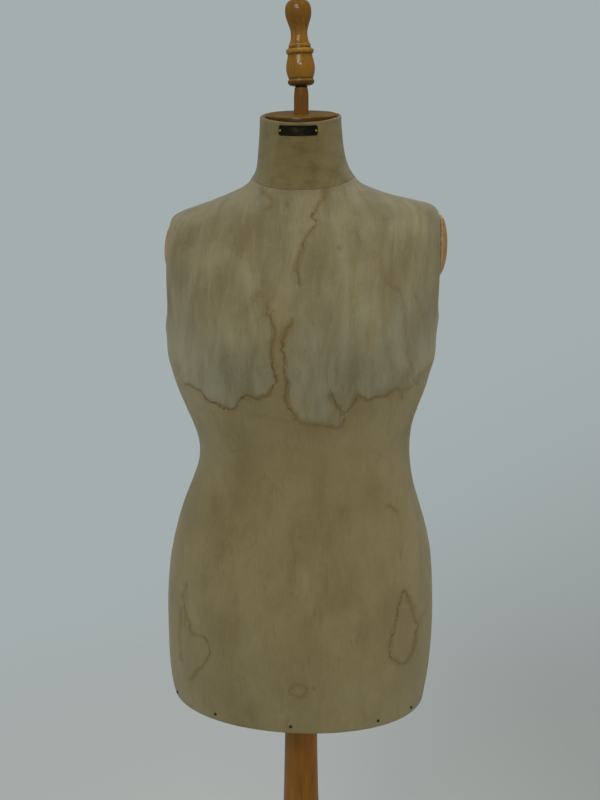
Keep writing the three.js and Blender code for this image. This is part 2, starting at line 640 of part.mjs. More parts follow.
function columnFerrule() {
  const z0 = FERRULE_SEAT + GAP;
  const z1 = COLUMN_TOP + 1.8;
  const bore = ROD_R + 0.8;
  const sleeve = turned([
    [19.5, z0], [21.4, z0], [21.7, z0 + 0.8], [21.7, z1 - 1.2], [20.6, z1], [bore, z1],
    [bore, COLUMN_TOP + GAP], [19.5, COLUMN_TOP + GAP], [19.5, z0],
  ], 24);
  const boss = alongClamp([[0, 20.2], [9.5, 20.2], [9.5, 27.6], [8.7, 28.4], [0, 28.4]], 24);
  const screwHole = cylinderAlong(SCREW_R + 0.25, 40, [0, 1, 0], [0, 14, CLAMP_Z], 20);
  return cut(join(sleeve, boss), screwHole);
}

// short brass slug between the screw's end and the rod
function clampPad() {
  const y0 = CLAMP_PAD_Y;
  const y1 = y0 + CLAMP_PAD_T;
  return alongClamp([[0, y0], [3.4, y0], [SCREW_R, y0 + 0.7], [SCREW_R, y1], [0, y1]]);
}

// one wing, in the plane of X and the screw's axis
function clampWing(side) {
  const outline = new THREE.Shape();
  outline.moveTo(0, -4.5);
  outline.lineTo(9, -4.2);
  outline.bezierCurveTo(14, -5, 20, -4, 21.5, 2);
  outline.bezierCurveTo(22.5, 8, 17, 10.5, 13.5, 7.5);
  outline.bezierCurveTo(10, 4.5, 6, 4.5, 0, 4.8);
  outline.closePath();
  const depth = 3.6;
  const wing = new THREE.ExtrudeGeometry(outline, {
    depth,
    curveSegments: 5,
    bevelEnabled: true,
    bevelThickness: 0.6,
    bevelSize: 0.6,
    bevelSegments: 1,
  }).translate(0, 0, -depth / 2);
  if (side < 0) wing.rotateY(Math.PI);
  return wing.translate(0, 43, CLAMP_Z);
}

function clampScrew() {
  const y0 = CLAMP_PAD_Y + CLAMP_PAD_T + GAP;
  const stem = alongClamp([
    [0, y0], [3.4, y0], [SCREW_R, y0 + 0.8], [SCREW_R, 36], [7.4, 37], [8.2, 39],
    [8.2, 47], [6.2, 50], [0, 51],
  ]);
  return join(stem, clampWing(1), clampWing(-1));
}

add('column_ferrule', columnFerrule(), 'brass');
add('clamp_pad', clampPad(), 'brass');
add('clamp_screw', clampScrew(), 'brass');

// ---- legs ---------------------------------------------------------------
// outline in the leg's own plane: reach from the axis, height over the floor
function legOutline() {
  const root0 = HUB_FLAT + GAP;
  const top = HUB_Z1 - 6;
  const bottom = HUB_Z0 + 0.2;
  const outline = new THREE.Shape();
  outline.moveTo(root0, bottom);
  outline.lineTo(root0 + 22, bottom);
  outline.bezierCurveTo(110, bottom + 4, 150, 62, 196, 26);
  outline.bezierCurveTo(214, 12, 232, FOOT_Z, 252, FOOT_Z);
  outline.lineTo(LEG_R - 6, FOOT_Z);
  outline.bezierCurveTo(LEG_R + 5, FOOT_Z, LEG_R + 8, 20, LEG_R - 4, 27);
  outline.bezierCurveTo(268, 34, 248, 36, 230, 50);
  outline.bezierCurveTo(190, 84, 168, 138, 118, 164);
  outline.bezierCurveTo(96, 175, 84, top - 4, 66, top);
  outline.lineTo(root0, top);
  outline.closePath();
  return outline;
}

function leg(angle) {
  const depth = LEG_W - 2 * LEG_BEVEL;
  const body = new THREE.ExtrudeGeometry(legOutline(), {
    depth,
    curveSegments: 7,
    bevelEnabled: true,
    bevelThickness: LEG_BEVEL,
    bevelSize: 1.6,
    bevelOffset: -1.6,
    bevelSegments: 1,
  }).translate(0, 0, -depth / 2).rotateX(Math.PI / 2).rotateZ(angle);
  return cut(body,
    boltHole(angle, BOLT_HOLE_R, 20, 200, 14),
    boltHole(angle, 7.2, BOLT_HEAD_R, 220, 14),
    cylinderUp(IRON_SCREW_HOLE_R, HUB_Z0 - 2, HUB_Z0 + 20, 10, ...onLeg(angle, IRON_SCREW_R)),
    cylinderUp(2.2, 2, 18, 10, ...onLeg(angle, GLIDE_R)));
}

// [radius, reach from the axis]
const HEAD = BOLT_HEAD_R + GAP;
const LEG_BOLT = [
  [0, HUB_FLAT - 22], [2.4, HUB_FLAT - 21], [3.3, HUB_FLAT - 18], [3.3, HEAD], [6.6, HEAD],
  [6.2, BOLT_HEAD_R + 2.6], [3.6, BOLT_HEAD_R + 4.2], [0, BOLT_HEAD_R + 4.6],
];
const IRON_SCREW = [[0, -2.2], [2.8, -1.9], [4.4, -0.7], [4.6, 0], [2.1, 0], [2.1, 18], [0, 20]];
const GLIDE = [[0, 0], [9.5, 0], [11, 1.2], [11, 3.6], [1.9, 3.8], [1.9, 15], [0, 17]];

LEG_ANGLES.forEach((angle, i) => {
  const bolt = turnedAlong(LEG_BOLT, [...onLeg(angle, 1), 0], [0, 0, BOLT_Z], 14);
  const screw = turned(IRON_SCREW, 12).translate(...onLeg(angle, IRON_SCREW_R), IRON_Z - GAP);
  add(`leg_${i + 1}`, leg(angle), 'beech');
  add(`leg_bolt_${i + 1}`, bolt, 'steel');
  add(`spider_screw_${i + 1}`, screw, 'steel');
  add(`foot_glide_${i + 1}`, turned(GLIDE, 20).translate(...onLeg(angle, GLIDE_R), 0), 'steel');
});

// three-armed iron plate under the hub, a round-ended arm under each leg
function spiderPlate() {
  const halfWidth = 11;
  const endReach = IRON_SCREW_R + 3;
  const arm = [[30, -15], [endReach - 8, -halfWidth]];
  for (let k = 0; k <= 6; k++) {
    const turn = -Math.PI / 2 + Math.PI * k / 6;
    arm.push([endReach + halfWidth * Math.cos(turn), halfWidth * Math.sin(turn)]);
  }
  arm.push([endReach - 8, halfWidth], [30, 15]);
  const outline = LEG_ANGLES.flatMap((angle) => {
    const [cos, sin] = onLeg(angle, 1);
    return arm.map(([along, across]) => [cos * along - sin * across, sin * along + cos * across]);
  });
  const holes = LEG_ANGLES.map((angle) => cylinderUp(
    IRON_SCREW_HOLE_R, IRON_Z - 2, IRON_Z + 8, 12, ...onLeg(angle, IRON_SCREW_R)));
  return cut(plate(outline, IRON_Z, IRON_Z + IRON_T), ...holes);
}

add('spider_plate', spiderPlate(), 'steel');

export default root;
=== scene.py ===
"""A tailor's dress form: a linen-covered papier-mache torso on a turned column with three legs.

The drawing functions work in millimetres with heights over the floor. The column stands on the
Z axis, the chest faces -Y and the form's left arm is at +X. add_piece() converts to the row
frame: metres, with z = 0 at the plate under the column.
"""
import bpy
import bmesh
import math
import numpy as np
from mathutils import Vector, Matrix

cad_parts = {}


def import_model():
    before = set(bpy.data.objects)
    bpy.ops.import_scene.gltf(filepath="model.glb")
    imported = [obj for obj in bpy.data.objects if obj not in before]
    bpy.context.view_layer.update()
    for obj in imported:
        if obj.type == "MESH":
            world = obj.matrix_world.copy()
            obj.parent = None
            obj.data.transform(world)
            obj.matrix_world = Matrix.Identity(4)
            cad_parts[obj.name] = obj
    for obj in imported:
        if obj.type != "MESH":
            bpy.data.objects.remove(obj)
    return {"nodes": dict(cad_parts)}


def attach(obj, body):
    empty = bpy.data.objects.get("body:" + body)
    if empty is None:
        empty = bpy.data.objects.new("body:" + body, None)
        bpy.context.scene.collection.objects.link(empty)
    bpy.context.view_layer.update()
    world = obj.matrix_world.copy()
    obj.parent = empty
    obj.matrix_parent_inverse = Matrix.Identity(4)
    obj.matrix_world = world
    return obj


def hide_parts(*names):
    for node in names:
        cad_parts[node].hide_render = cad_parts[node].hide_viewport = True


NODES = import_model()["nodes"]
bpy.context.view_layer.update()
PI = math.pi
PLATE_Z = 78.0              # height of the plate under the column


# ------------------------------------------------------------------ shader helpers
def rgb(*channels):
    """Linear RGBA from 8-bit sRGB channels."""
    shares = [c / 255 for c in channels]
    return (*(c / 12.92 if c <= 0.04045 else ((c + 0.055) / 1.055) ** 2.4 for c in shares), 1.0)


def shade(colour, factor):
    """A colour made darker or lighter."""
    return tuple(min(1.0, factor * c) for c in colour[:3]) + (1,)


class Shader:
    """Short ways to add nodes to a tree. An input takes a number, a colour or a socket."""

    def __init__(self, tree):
        self.tree = tree

    def put(self, socket, value):
        if isinstance(value, bpy.types.NodeSocket):
            self.tree.links.new(value, socket)
        elif value is not None:
            socket.default_value = value

    def node(self, kind, inputs=None, **props):
        node = self.tree.nodes.new("ShaderNode" + kind)
        for key, value in props.items():
            setattr(node, key, value)
        for key, value in (inputs or {}).items():
            self.put(node.inputs[key], value)
        return node

    def math(self, operation, a, b=None, c=None, clamp=False):
        node = self.node("Math", {0: a, 1: b, 2: c}, operation=operation, use_clamp=clamp)
        return node.outputs[0]

    def add(self, a, b):
        return self.math("ADD", a, b)

    def sub(self, a, b):
        return self.math("SUBTRACT", a, b)

    def mul(self, a, b, clamp=False):
        return self.math("MULTIPLY", a, b, clamp=clamp)

    def mul_add(self, a, b, c):
        return self.math("MULTIPLY_ADD", a, b, c)

    def mix(self, share, a, b, blend="MIX"):
        """Colour a, with colour b over it by the given share."""
        props = dict(data_type="RGBA", blend_type=blend, clamp_factor=True)
        return self.node("Mix", {0: share, 6: a, 7: b}, **props).outputs[2]

    def range(self, value, span, to=(0.0, 1.0), kind="SMOOTHSTEP"):
        """Carries the span onto the range `to`, held at both ends."""
        inputs = dict(enumerate((value, *span, *to)))
        return self.node("MapRange", inputs, interpolation_type=kind, clamp=True).outputs[0]


class Material(Shader):
    """A Principled material whose base colour is painted up in layers."""

    def __init__(self, name):
        self.material = bpy.data.materials.new(name)
        self.material.use_nodes = True
        super().__init__(self.material.node_tree)
        self.tree.nodes.clear()
        self.out = self.node("OutputMaterial")
        self.bsdf = self.node("BsdfPrincipled")
        self.put(self.out.inputs[0], self.bsdf.outputs[0])

    def object_space(self):
        return self.node("TexCoord").outputs["Object"]

    def attr(self, name, output="Fac"):
        node = self.node("Attribute", attribute_name=name, attribute_type="GEOMETRY")
        return node.outputs[output]

    def scaled(self, vector, scale=(1, 1, 1)):
        return self.node("Mapping", {"Vector": vector, "Scale": scale}).outputs[0]

    def raw_noise(self, vector, scale=1.0, detail=3, rough=0.6, warp=0.0, output="Fac"):
        inputs = {"Vector": vector, "Scale": scale, "Detail": detail, "Roughness": rough,
                  "Distortion": warp}
        return self.node("TexNoise", inputs).outputs[output]

    def noise(self, vector, stretch=(1, 1, 1), **settings):
        return self.raw_noise(self.scaled(vector, stretch), **settings)

    def ramp(self, share, stops):
        node = self.node("ValToRGB", {0: share})
        elements = node.color_ramp.elements
        while len(elements) < len(stops):
            elements.new(0.5)
        for element, (position, colour) in zip(elements, stops):
            element.position = position
            element.color = colour
        return node.outputs[0]

    def bump(self, height, strength, distance, normal=None):
        inputs = {"Strength": strength, "Distance": distance, "Height": height, "Normal": normal}
        return self.node("Bump", inputs).outputs[0]

    def paint(self, colour, share, blend="MIX"):
        """Lays a colour over what is painted so far."""
        self.colour = self.mix(share, self.colour, colour, blend)

    def finish(self, **inputs):
        """Sets the Principled inputs, underscores standing for spaces."""
        self.put(self.bsdf.inputs["Base Color"], self.colour)
        for key, value in inputs.items():
            self.put(self.bsdf.inputs[key.replace("_", " ")], value)
        return self.material


# ------------------------------------------------------------------ materials
WEAVE_PITCH = 0.00105       # metres, two threads


def linen(name, warm=0.0, dark=1.0):
    """Old slubby linen: washed grey areas with brown tide lines, and grime at the seams.

    warm is the share of handling tint, dark a factor on the whole colour.
    """
    M = Material(name)
    obj = M.object_space()
    strip = M.attr("st", "Vector")  # arc lengths round and down the form, metres
    tide = M.attr("tide")           # signed mm to the nearest tide line
    tide_w = M.attr("tide_w")       # its strength
    area = M.attr("area")           # signed mm into a washed area
    blot = M.attr("blot")           # brown (+) and bleached (-) patches
    seam = M.attr("seam")           # mm to the nearest seam or edge
    height = M.node("SeparateXYZ", {"Vector": obj}).outputs[2]
    broad = M.noise(obj, scale=5.5, rough=0.55)
    mid = M.noise(obj, (1, 1, 0.55), scale=19.0, detail=4)
    ragged = M.noise(obj, scale=78.0)
    ragged_fine = M.noise(obj, scale=230.0, rough=0.65)
    smear = M.noise(strip, (46, 12, 1), detail=4, warp=0.6)
    streak = M.noise(strip, (90, 12, 1), rough=0.55, warp=0.8)
    slub_down = M.noise(strip, (1000, 42, 1), detail=2, rough=0.5)
    slub_across = M.noise(strip, (34, 1000, 1), detail=2, rough=0.5)

    def off_centre(noise, amount):
        return M.mul(M.sub(noise, 0.5), amount)

    # ground: brown linen, washed to grey inside the areas; painted light makes the grey paler
    # low on the bust
    brown = M.mix(M.range(broad, (0.32, 0.68)), rgb(144, 128, 84), rgb(153, 137, 94))
    brown = M.mix(M.range(mid, (0.35, 0.72)), brown, rgb(134, 118, 76))
    grey = M.mix(M.range(mid, (0.30, 0.70)), rgb(146, 136, 103), rgb(124, 113, 79))
    # painted light: the washed grey turns paler towards the lower bust
    grey = M.mix(M.range(height, (1.250, 1.130), to=(0.0, 0.62)), grey, rgb(164, 155, 122))
    wander = M.add(off_centre(ragged, 11.0), off_centre(ragged_fine, 6.0))
    area = M.add(area, wander)
    washed = M.mul(M.range(area, (-1.0, 3.0)), M.range(smear, (0.30, 0.62), to=(0.42, 1.0)))
    M.colour = M.mix(washed, brown, grey)
    # rusty bloom just inside the edge of a washed area
    bloom = M.mul(M.range(area, (0.0, 2.0)), M.range(area, (2.0, 15.0), to=(1.0, 0.0)))
    patchy = M.range(smear, (0.35, 0.65), to=(0.05, 0.26))
    M.paint(rgb(134, 108, 68), M.mul(bloom, patchy))
    # water streaks, drips and smears run down the cloth
    run = M.mul(M.range(streak, (0.50, 0.72)), M.add(M.mul(washed, 0.26), 0.06))
    M.paint(rgb(114, 100, 66), run)
    drip = M.noise(strip, (50, 8, 1), detail=2, rough=0.5, warp=0.7)
    M.paint(rgb(114, 99, 62), M.mul(M.range(drip, (0.50, 0.66), to=(0.0, 0.34)), washed))
    M.paint(rgb(164, 155, 124), M.mul(M.range(drip, (0.47, 0.34), to=(0.0, 0.24)), washed))
    smudge = M.mul(M.range(smear, (0.44, 0.30)), M.range(broad, (0.4, 0.6), to=(0.3, 0.8)))
    M.paint(rgb(116, 100, 62), M.mul(smudge, 0.42))
    # brown and bleached patches; the broad pale ones over the bust are painted light
    uneven = M.add(M.mul(smear, 0.6), M.mul(ragged, 0.4))
    patch = M.mul(blot, M.range(uneven, (0.36, 0.60), to=(0.35, 1.25)))
    M.paint(rgb(104, 88, 54), M.mul(patch, 0.95, clamp=True))
    M.paint(rgb(166, 157, 126), M.mul(patch, -0.75, clamp=True))
    # tide lines: a soft brown band, a ragged dark core and a faint echo on the washed side
    fray = M.noise(obj, scale=520.0, detail=2)
    signed = M.add(M.add(tide, wander), off_centre(fray, 2.2))
    distance = M.math("ABSOLUTE", signed)
    vary = M.noise(obj, scale=34.0, detail=2, rough=0.5)
    band = M.mul(M.range(distance, (0.6, 6.5), to=(1.0, 0.0)),
                 M.range(vary, (0.36, 0.60), to=(0.20, 0.66)))
    M.paint(rgb(116, 92, 38), M.mul(band, tide_w))
    core = M.mul(M.range(distance, (0.30, 1.40), to=(1.0, 0.0)),
                 M.range(vary, (0.60, 0.42), to=(0.28, 0.78)))
    M.paint(rgb(86, 62, 14), M.mul(core, tide_w))
    echo = M.math("ABSOLUTE", M.sub(signed, M.mul_add(vary, 5.0, 0.6)))
    echo = M.mul(M.range(echo, (0.2, 0.9), to=(0.34, 0.0)), M.range(ragged, (0.40, 0.60)))
    M.paint(rgb(104, 80, 44), M.mul(echo, tide_w))
    # faint tide marks with no drawn outline, all round the form
    loose = M.noise(obj, (1, 1, 0.7), scale=7.0, detail=4, rough=0.62)
    loose = M.range(M.math("ABSOLUTE", M.sub(loose, 0.56)), (0.0, 0.006), to=(0.16, 0.0))
    M.paint(rgb(104, 82, 46), M.mul(loose, M.range(broad, (0.45, 0.6))))
    # painted shade: the midriff under the bust is a little browner and darker
    midriff_shade = M.mul(M.range(height, (1.085, 1.030)), M.range(height, (0.830, 0.930)))
    M.paint(rgb(104, 88, 46), M.mul(midriff_shade, 0.16))
    # dark threads down, pale threads across, then broader dark and pale slubs
    M.paint(rgb(100, 87, 56), M.range(slub_down, (0.54, 0.80), to=(0.0, 0.26)))
    M.paint(rgb(182, 170, 134), M.range(slub_across, (0.58, 0.82), to=(0.0, 0.22)))
    slub = M.noise(strip, (420, 70, 1), detail=2)
    M.paint(rgb(104, 92, 58), M.range(slub, (0.52, 0.74), to=(0.0, 0.13)))
    M.paint(rgb(176, 164, 126), M.range(slub, (0.46, 0.28), to=(0.0, 0.08)))
    # short dark dashes, gathered in places
    dash = M.noise(strip, (560, 62, 1), detail=1, rough=0.4)
    where = M.noise(obj, (9, 9, 9), detail=2, rough=0.5)
    where = M.range(where, (0.42, 0.60), to=(0.06, 0.42))
    M.paint(rgb(92, 78, 46), M.mul(M.range(dash, (0.66, 0.76)), where))
    # foxing specks
    cells = M.node("TexVoronoi", {"Vector": M.scaled(obj), "Scale": 46.0, "Randomness": 1.0})
    speck = M.range(cells.outputs["Distance"], (0.03, 0.075), to=(1.0, 0.0))
    M.paint(rgb(86, 66, 40), M.mul(M.mul(speck, M.range(ragged, (0.58, 0.66))), 0.5))
    # grime along seams and edges, with a dark line in the seam itself; at the inner edge of the
    # neck roll, by the wooden disc, the dark line is painted shade
    grime = M.mul(M.range(seam, (0.0, 11.0), to=(1.0, 0.0)),
                  M.range(mid, (0.3, 0.6), to=(0.25, 0.65)))
    M.paint(rgb(92, 76, 46), M.mul(grime, 0.32))
    M.paint(rgb(60, 48, 28), M.range(seam, (0.2, 1.1), to=(0.38, 0.0)))
    if warm:
        # handling tint with dark and pale rubbing
        M.paint(rgb(124, 106, 49), warm)
        rub = M.noise(obj, (34, 34, 60), detail=4, rough=0.65)
        M.paint(rgb(88, 72, 34), M.range(rub, (0.50, 0.66), to=(0.0, 0.42)))
        M.paint(rgb(150, 136, 92), M.range(rub, (0.46, 0.32), to=(0.0, 0.30)))
    if dark != 1.0:
        M.paint((dark, dark, dark, 1.0), 1.0, "MULTIPLY")
    # plain weave
    axes = M.node("SeparateXYZ", {"Vector": strip})
    waves = [M.math("SINE", M.mul(axes.outputs[i], 2 * PI / WEAVE_PITCH)) for i in (0, 1)]
    weave = M.mul_add(M.mul(*waves), 0.5, 0.5)
    M.paint(rgb(70, 58, 36), M.mul(M.sub(1.0, weave), 0.10))
    normal = M.bump(weave, strength=0.22, distance=0.00035)
    normal = M.bump(M.add(slub_down, slub_across), 0.42, 0.0008, normal)
    normal = M.bump(M.noise(obj, scale=90.0, rough=0.5), 0.10, 0.002, normal)
    return M.finish(Roughness=M.range(mid, (0.3, 0.7), to=(0.86, 0.97)), Normal=normal,
                    Sheen_Weight=0.20, Sheen_Roughness=0.6, Specular_IOR_Level=0.25)


def wood(name, tones, axis="Z", rough=0.42, coat=0.35, figure=0.7, scale=0.7, wear=0.6,
         grain=0.16, gloss=0.20, dusk=(), source=None, side=0.0):
    """Turned or sawn wood under old shellac.

    tones are dark, mid and light, and the grain runs along the axis. figure is the number of
    growth rings, grain their contrast and gloss the roughness of the coat. dusk lists bands of
    darkening: from and to height in metres, amount. side is painted shade on upright faces,
    darker than the lit top. The vertex attributes cav and edge mark grooves and worn arrises.
    """
    M = Material(name)
    dark, medium, light = tones
    obj = M.attr(source, "Vector") if source else M.object_space()
    stretch = [v * scale for v in {"X": (2.2, 30, 30), "Z": (30, 30, 2.2)}[axis]]
    bend = M.noise(obj, [v * 0.22 for v in stretch], detail=2, rough=0.5, output="Color")
    bent = M.node("VectorMath", {0: bend, 1: (1.4, 1.4, 0.7), 2: M.scaled(obj, stretch)},
                  operation="MULTIPLY_ADD")
    rings = M.raw_noise(bent.outputs[0], scale=1.35, detail=2, rough=0.5)
    rings = M.math("FRACT", M.mul(rings, 7.0 * figure))
    rings = M.math("ABSOLUTE", M.mul_add(rings, 2.0, -1.0))
    fibre = M.noise(obj, [v * 11 for v in stretch])
    # pores: finer across the grain than along it
    pores = M.noise(obj, [v * (26 if v > 5 else 9) for v in stretch], detail=2, rough=0.5)
    tone = M.mul_add(fibre, 0.42 + 0.4 * grain, 0.24 - 0.52 * grain)
    tone = M.mul_add(rings, grain, tone)
    M.colour = M.ramp(tone, [(0.12, dark), (0.52, medium), (0.95, light)])
    M.paint(shade(dark, 0.35), M.range(pores, (0.60, 0.72), to=(0.0, 0.45)))
    patch = M.noise(obj, (9, 9, 9))
    M.paint(dark, M.range(patch, (0.42, 0.70), to=(0.0, 0.35)))
    # dirt and painted shade in the grooves, wear on the arrises
    M.paint(shade(dark, 0.22), M.mul(M.attr("cav"), 0.85))
    worn = M.range(M.noise(obj, (60, 60, 60)), (0.38, 0.62), to=(0.0, wear))
    M.paint(shade(light, 1.25), M.mul(M.attr("edge"), worn))
    for start, end, amount in dusk:
        height = M.node("SeparateXYZ", {"Vector": obj}).outputs[2]
        height = M.add(height, M.mul_add(patch, 0.012, -0.006))
        M.paint(shade(dark, 0.62), M.range(height, (start, end), to=(0.0, amount)))
    # painted shade: upright faces darker than the top face
    if side:
        normal = M.node("NewGeometry").outputs["Normal"]
        upright = M.node("SeparateXYZ", {"Vector": normal}).outputs[2]
        M.paint(shade(dark, 0.55), M.range(upright, (0.62, 0.22), to=(0.0, side)))
    # scratches and dents
    reach = (420, 420, 26) if axis == "Z" else (260, 260, 260)
    scratch = M.noise(obj, reach, detail=1, rough=0.4)
    M.paint(shade(medium, 1.5), M.range(scratch, (0.68, 0.74), to=(0.0, 0.35)))
    roughness = M.add(M.mul_add(patch, 0.28, rough - 0.10),
                      M.mul(M.range(pores, (0.60, 0.72)), 0.15))
    normal = M.bump(fibre, strength=0.12, distance=0.0006)
    normal = M.bump(pores, 0.10, 0.0004, normal)
    return M.finish(Roughness=roughness, Normal=normal, Coat_Weight=coat, Coat_Roughness=gloss,
                    Specular_IOR_Level=0.22)


def metal(name, base, tarnish, rough, amount):
    """Old metal: the base shows through patches of tarnish."""
    M = Material(name)
    obj = M.object_space()
    patch = M.noise(obj, scale=120.0, detail=4)
    fine = M.noise(obj, scale=520.0)
    cover_share = M.range(patch, (0.62 - 0.35 * amount, 0.72 - 0.20 * amount))
    M.colour = M.mix(cover_share, base, tarnish)
    M.paint(shade(tarnish, 0.4), M.range(fine, (0.56, 0.7), to=(0.0, 0.35)))
    # dirt in the grooves, wear on the arrises
    M.paint(shade(tarnish, 0.25), M.mul(M.attr("cav"), 0.8))
    M.paint(shade(base, 1.3), M.mul(M.attr("edge"), 0.5))
    return M.finish(Roughness=M.mul_add(cover_share, 0.25, rough),
                    Metallic=M.mul_add(cover_share, -0.25, 1.0),
                    Normal=M.bump(fine, strength=0.12, distance=0.0003))


def papier(name):
    """Layers of brown paper and paste."""
    M = Material(name)
    obj = M.object_space()
    scraps = M.node("TexVoronoi", {"Vector": M.scaled(obj, (1, 1, 0.6)), "Scale": 18.0})
    blur = M.noise(obj, scale=60.0, detail=4)
    tone = M.mul_add(scraps.outputs["Color"], 0.5, M.mul(blur, 0.5))
    M.colour = M.ramp(tone, [(0.2, rgb(112, 92, 62)), (0.6, rgb(142, 120, 84)),
                             (0.9, rgb(168, 146, 108))])
    height = M.add(scraps.outputs["Distance"], blur)
    return M.finish(Roughness=0.93, Normal=M.bump(height, strength=0.3, distance=0.001))


def leather(name):
    """Dark brown leather with a fine pebbled grain."""
    M = Material(name)
    obj = M.object_space()
    pebbles = M.node("TexVoronoi", {"Vector": obj, "Scale": 900.0}).outputs["Distance"]
    patch = M.raw_noise(obj, scale=160.0, detail=4)
    M.colour = M.mix(M.range(patch, (0.4, 0.65)), rgb(58, 38, 26), rgb(34, 22, 16))
    return M.finish(Roughness=0.62, Normal=M.bump(pebbles, strength=0.35, distance=0.0004))


MATERIALS = {
    "linen": linen("linen"),
    # linen_neck: dark=0.86 is partly the neck linen's own darker tone and partly painted shade
    # on the neck
    "linen_neck": linen("linen_neck", warm=0.60, dark=0.86),
    "finial": wood("shellac_finial", (rgb(104, 60, 8), rgb(160, 112, 30), rgb(190, 146, 60)),
                   coat=0.60, figure=0.5, scale=1.2, grain=0.10, gloss=0.09,
                   dusk=((1.525, 1.543, 0.50), (1.4785, 1.4745, 0.90))),
    # neck_disc: side=0.80 paints shade on the disc's upright edge
    "neck_disc": wood("shellac_disc", (rgb(70, 42, 6), rgb(116, 82, 22), rgb(156, 116, 40)),
                      axis="X", rough=0.40, scale=0.8, gloss=0.14, side=0.80),
    "arm_disc": wood("shellac_arm", (rgb(134, 98, 54), rgb(184, 146, 94), rgb(208, 174, 126)),
                     coat=0.25),
    "column": wood("shellac_column", (rgb(92, 53, 3), rgb(147, 94, 10), rgb(170, 117, 22)),
                   coat=0.22, figure=0.6, grain=0.12),
    "leg": wood("shellac_leg", (rgb(90, 52, 4), rgb(142, 92, 16), rgb(166, 116, 30)),
                axis="X", coat=0.24, figure=0.6, source="gr"),
    "rod": wood("rod_wood", (rgb(72, 40, 6), rgb(122, 78, 16), rgb(150, 104, 32)),
                rough=0.45, coat=0.16, figure=0.5, scale=1.4, grain=0.10),
    "bare": wood("bare_wood", (rgb(120, 92, 58), rgb(164, 132, 88), rgb(196, 168, 124)),
                 axis="X", rough=0.75, coat=0.0, figure=1.0, scale=0.5, wear=0.2, grain=0.45),
    "papier": papier("papier_mache"),
    "plate": metal("blackened_brass", rgb(52, 42, 22), rgb(26, 22, 14), rough=0.42, amount=0.8),
    "brass": metal("old_brass", rgb(176, 146, 84), rgb(98, 76, 40), rough=0.36, amount=0.6),
    "pin": metal("bright_brass", rgb(186, 162, 104), rgb(104, 84, 48), rough=0.30, amount=0.5),
    "steel": metal("dark_steel", rgb(120, 114, 106), rgb(56, 44, 34), rough=0.42, amount=0.6),
    "rust": metal("rusty_steel", rgb(84, 72, 54), rgb(52, 38, 24), rough=0.55, amount=0.9),
    "leather": leather("leather"),
}


# ------------------------------------------------------------------ mesh tools
def point_normals_out(obj):
    bm = bmesh.new()
    bm.from_mesh(obj.data)
    bmesh.ops.recalc_face_normals(bm, faces=bm.faces)
    if bm.calc_volume(signed=True) < 0:
        bmesh.ops.reverse_faces(bm, faces=bm.faces)
    bm.to_mesh(obj.data)
    bm.free()


def link_object(name, mesh):
    obj = bpy.data.objects.new(name, mesh)
    bpy.context.scene.collection.objects.link(obj)
    return obj


def add_piece(name, vertices, faces, finish, body, attrs, sharp):
    """New smooth-shaded piece on a body; edges over `sharp` degrees stay crisp."""
    points = np.asarray(vertices, float) / 1000.0
    points[:, 2] -= PLATE_Z / 1000.0
    mesh = bpy.data.meshes.new(name)
    mesh.from_pydata([tuple(p) for p in points], [], [tuple(int(i) for i in f) for f in faces])
    mesh.validate()
    for key, values in attrs.items():
        values = np.asarray(values, np.float32)
        kind, field = ("FLOAT_VECTOR", "vector") if values.ndim == 2 else ("FLOAT", "value")
        mesh.attributes.new(key, kind, "POINT").data.foreach_set(field, values.ravel())
    mesh.polygons.foreach_set("use_smooth", [True] * len(mesh.polygons))
    mesh.set_sharp_from_angle(angle=math.radians(sharp))
    mesh.update()
    obj = link_object(name, mesh)
    mesh.materials.append(MATERIALS[finish])
    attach(obj, body)
    point_normals_out(obj)
    return obj


def xyz(x, y, z):
    return np.stack(np.broadcast_arrays(x, y, z), -1)


def unit(vectors):
    return vectors / np.linalg.norm(vectors, axis=-1, keepdims=True)


def arc_length(points):
    """Length run along the first axis of an array of points."""
    steps = np.linalg.norm(np.diff(points, axis=0), axis=-1)
    return np.concatenate([np.zeros_like(steps[:1]), np.cumsum(steps, axis=0)])


def smooth_profile(profile, steps):
    """Centripetal Catmull-Rom through (r, h) points; points given as (r, h, 1) stay sharp."""
    points = [np.array(p[:2], float) for p in profile]
    hard = [len(p) > 2 for p in profile]
    out = []
    for i in range(len(points) - 1):
        p1, p2 = points[i], points[i + 1]
        p0 = points[i - 1] if i > 0 and not hard[i] else 2 * p1 - p2
        p3 = points[i + 2] if i + 2 < len(points) and not hard[i + 1] else 2 * p2 - p1
        count = steps if np.linalg.norm(p2 - p1) > 0.35 else 1
        # centripetal spacing keeps corners from overshooting
        t0 = 0.0
        t1 = t0 + max(np.linalg.norm(p1 - p0), 1e-6) ** 0.5
        t2 = t1 + max(np.linalg.norm(p2 - p1), 1e-6) ** 0.5
        t3 = t2 + max(np.linalg.norm(p3 - p2), 1e-6) ** 0.5
        for k in range(count):
            t = t1 + (t2 - t1) * k / count
            a1 = (t1 - t) / (t1 - t0) * p0 + (t - t0) / (t1 - t0) * p1
            a2 = (t2 - t) / (t2 - t1) * p1 + (t - t1) / (t2 - t1) * p2
            a3 = (t3 - t) / (t3 - t2) * p2 + (t - t2) / (t3 - t2) * p3
            b1 = (t2 - t) / (t2 - t0) * a1 + (t - t0) / (t2 - t0) * a2
            b2 = (t3 - t) / (t3 - t1) * a2 + (t - t1) / (t3 - t1) * a3
            radius, height = (t2 - t) / (t2 - t1) * b1 + (t - t1) / (t2 - t1) * b2
            out.append((max(radius, 0.0), height))
    out.append(tuple(points[-1]))
    return np.array(out)


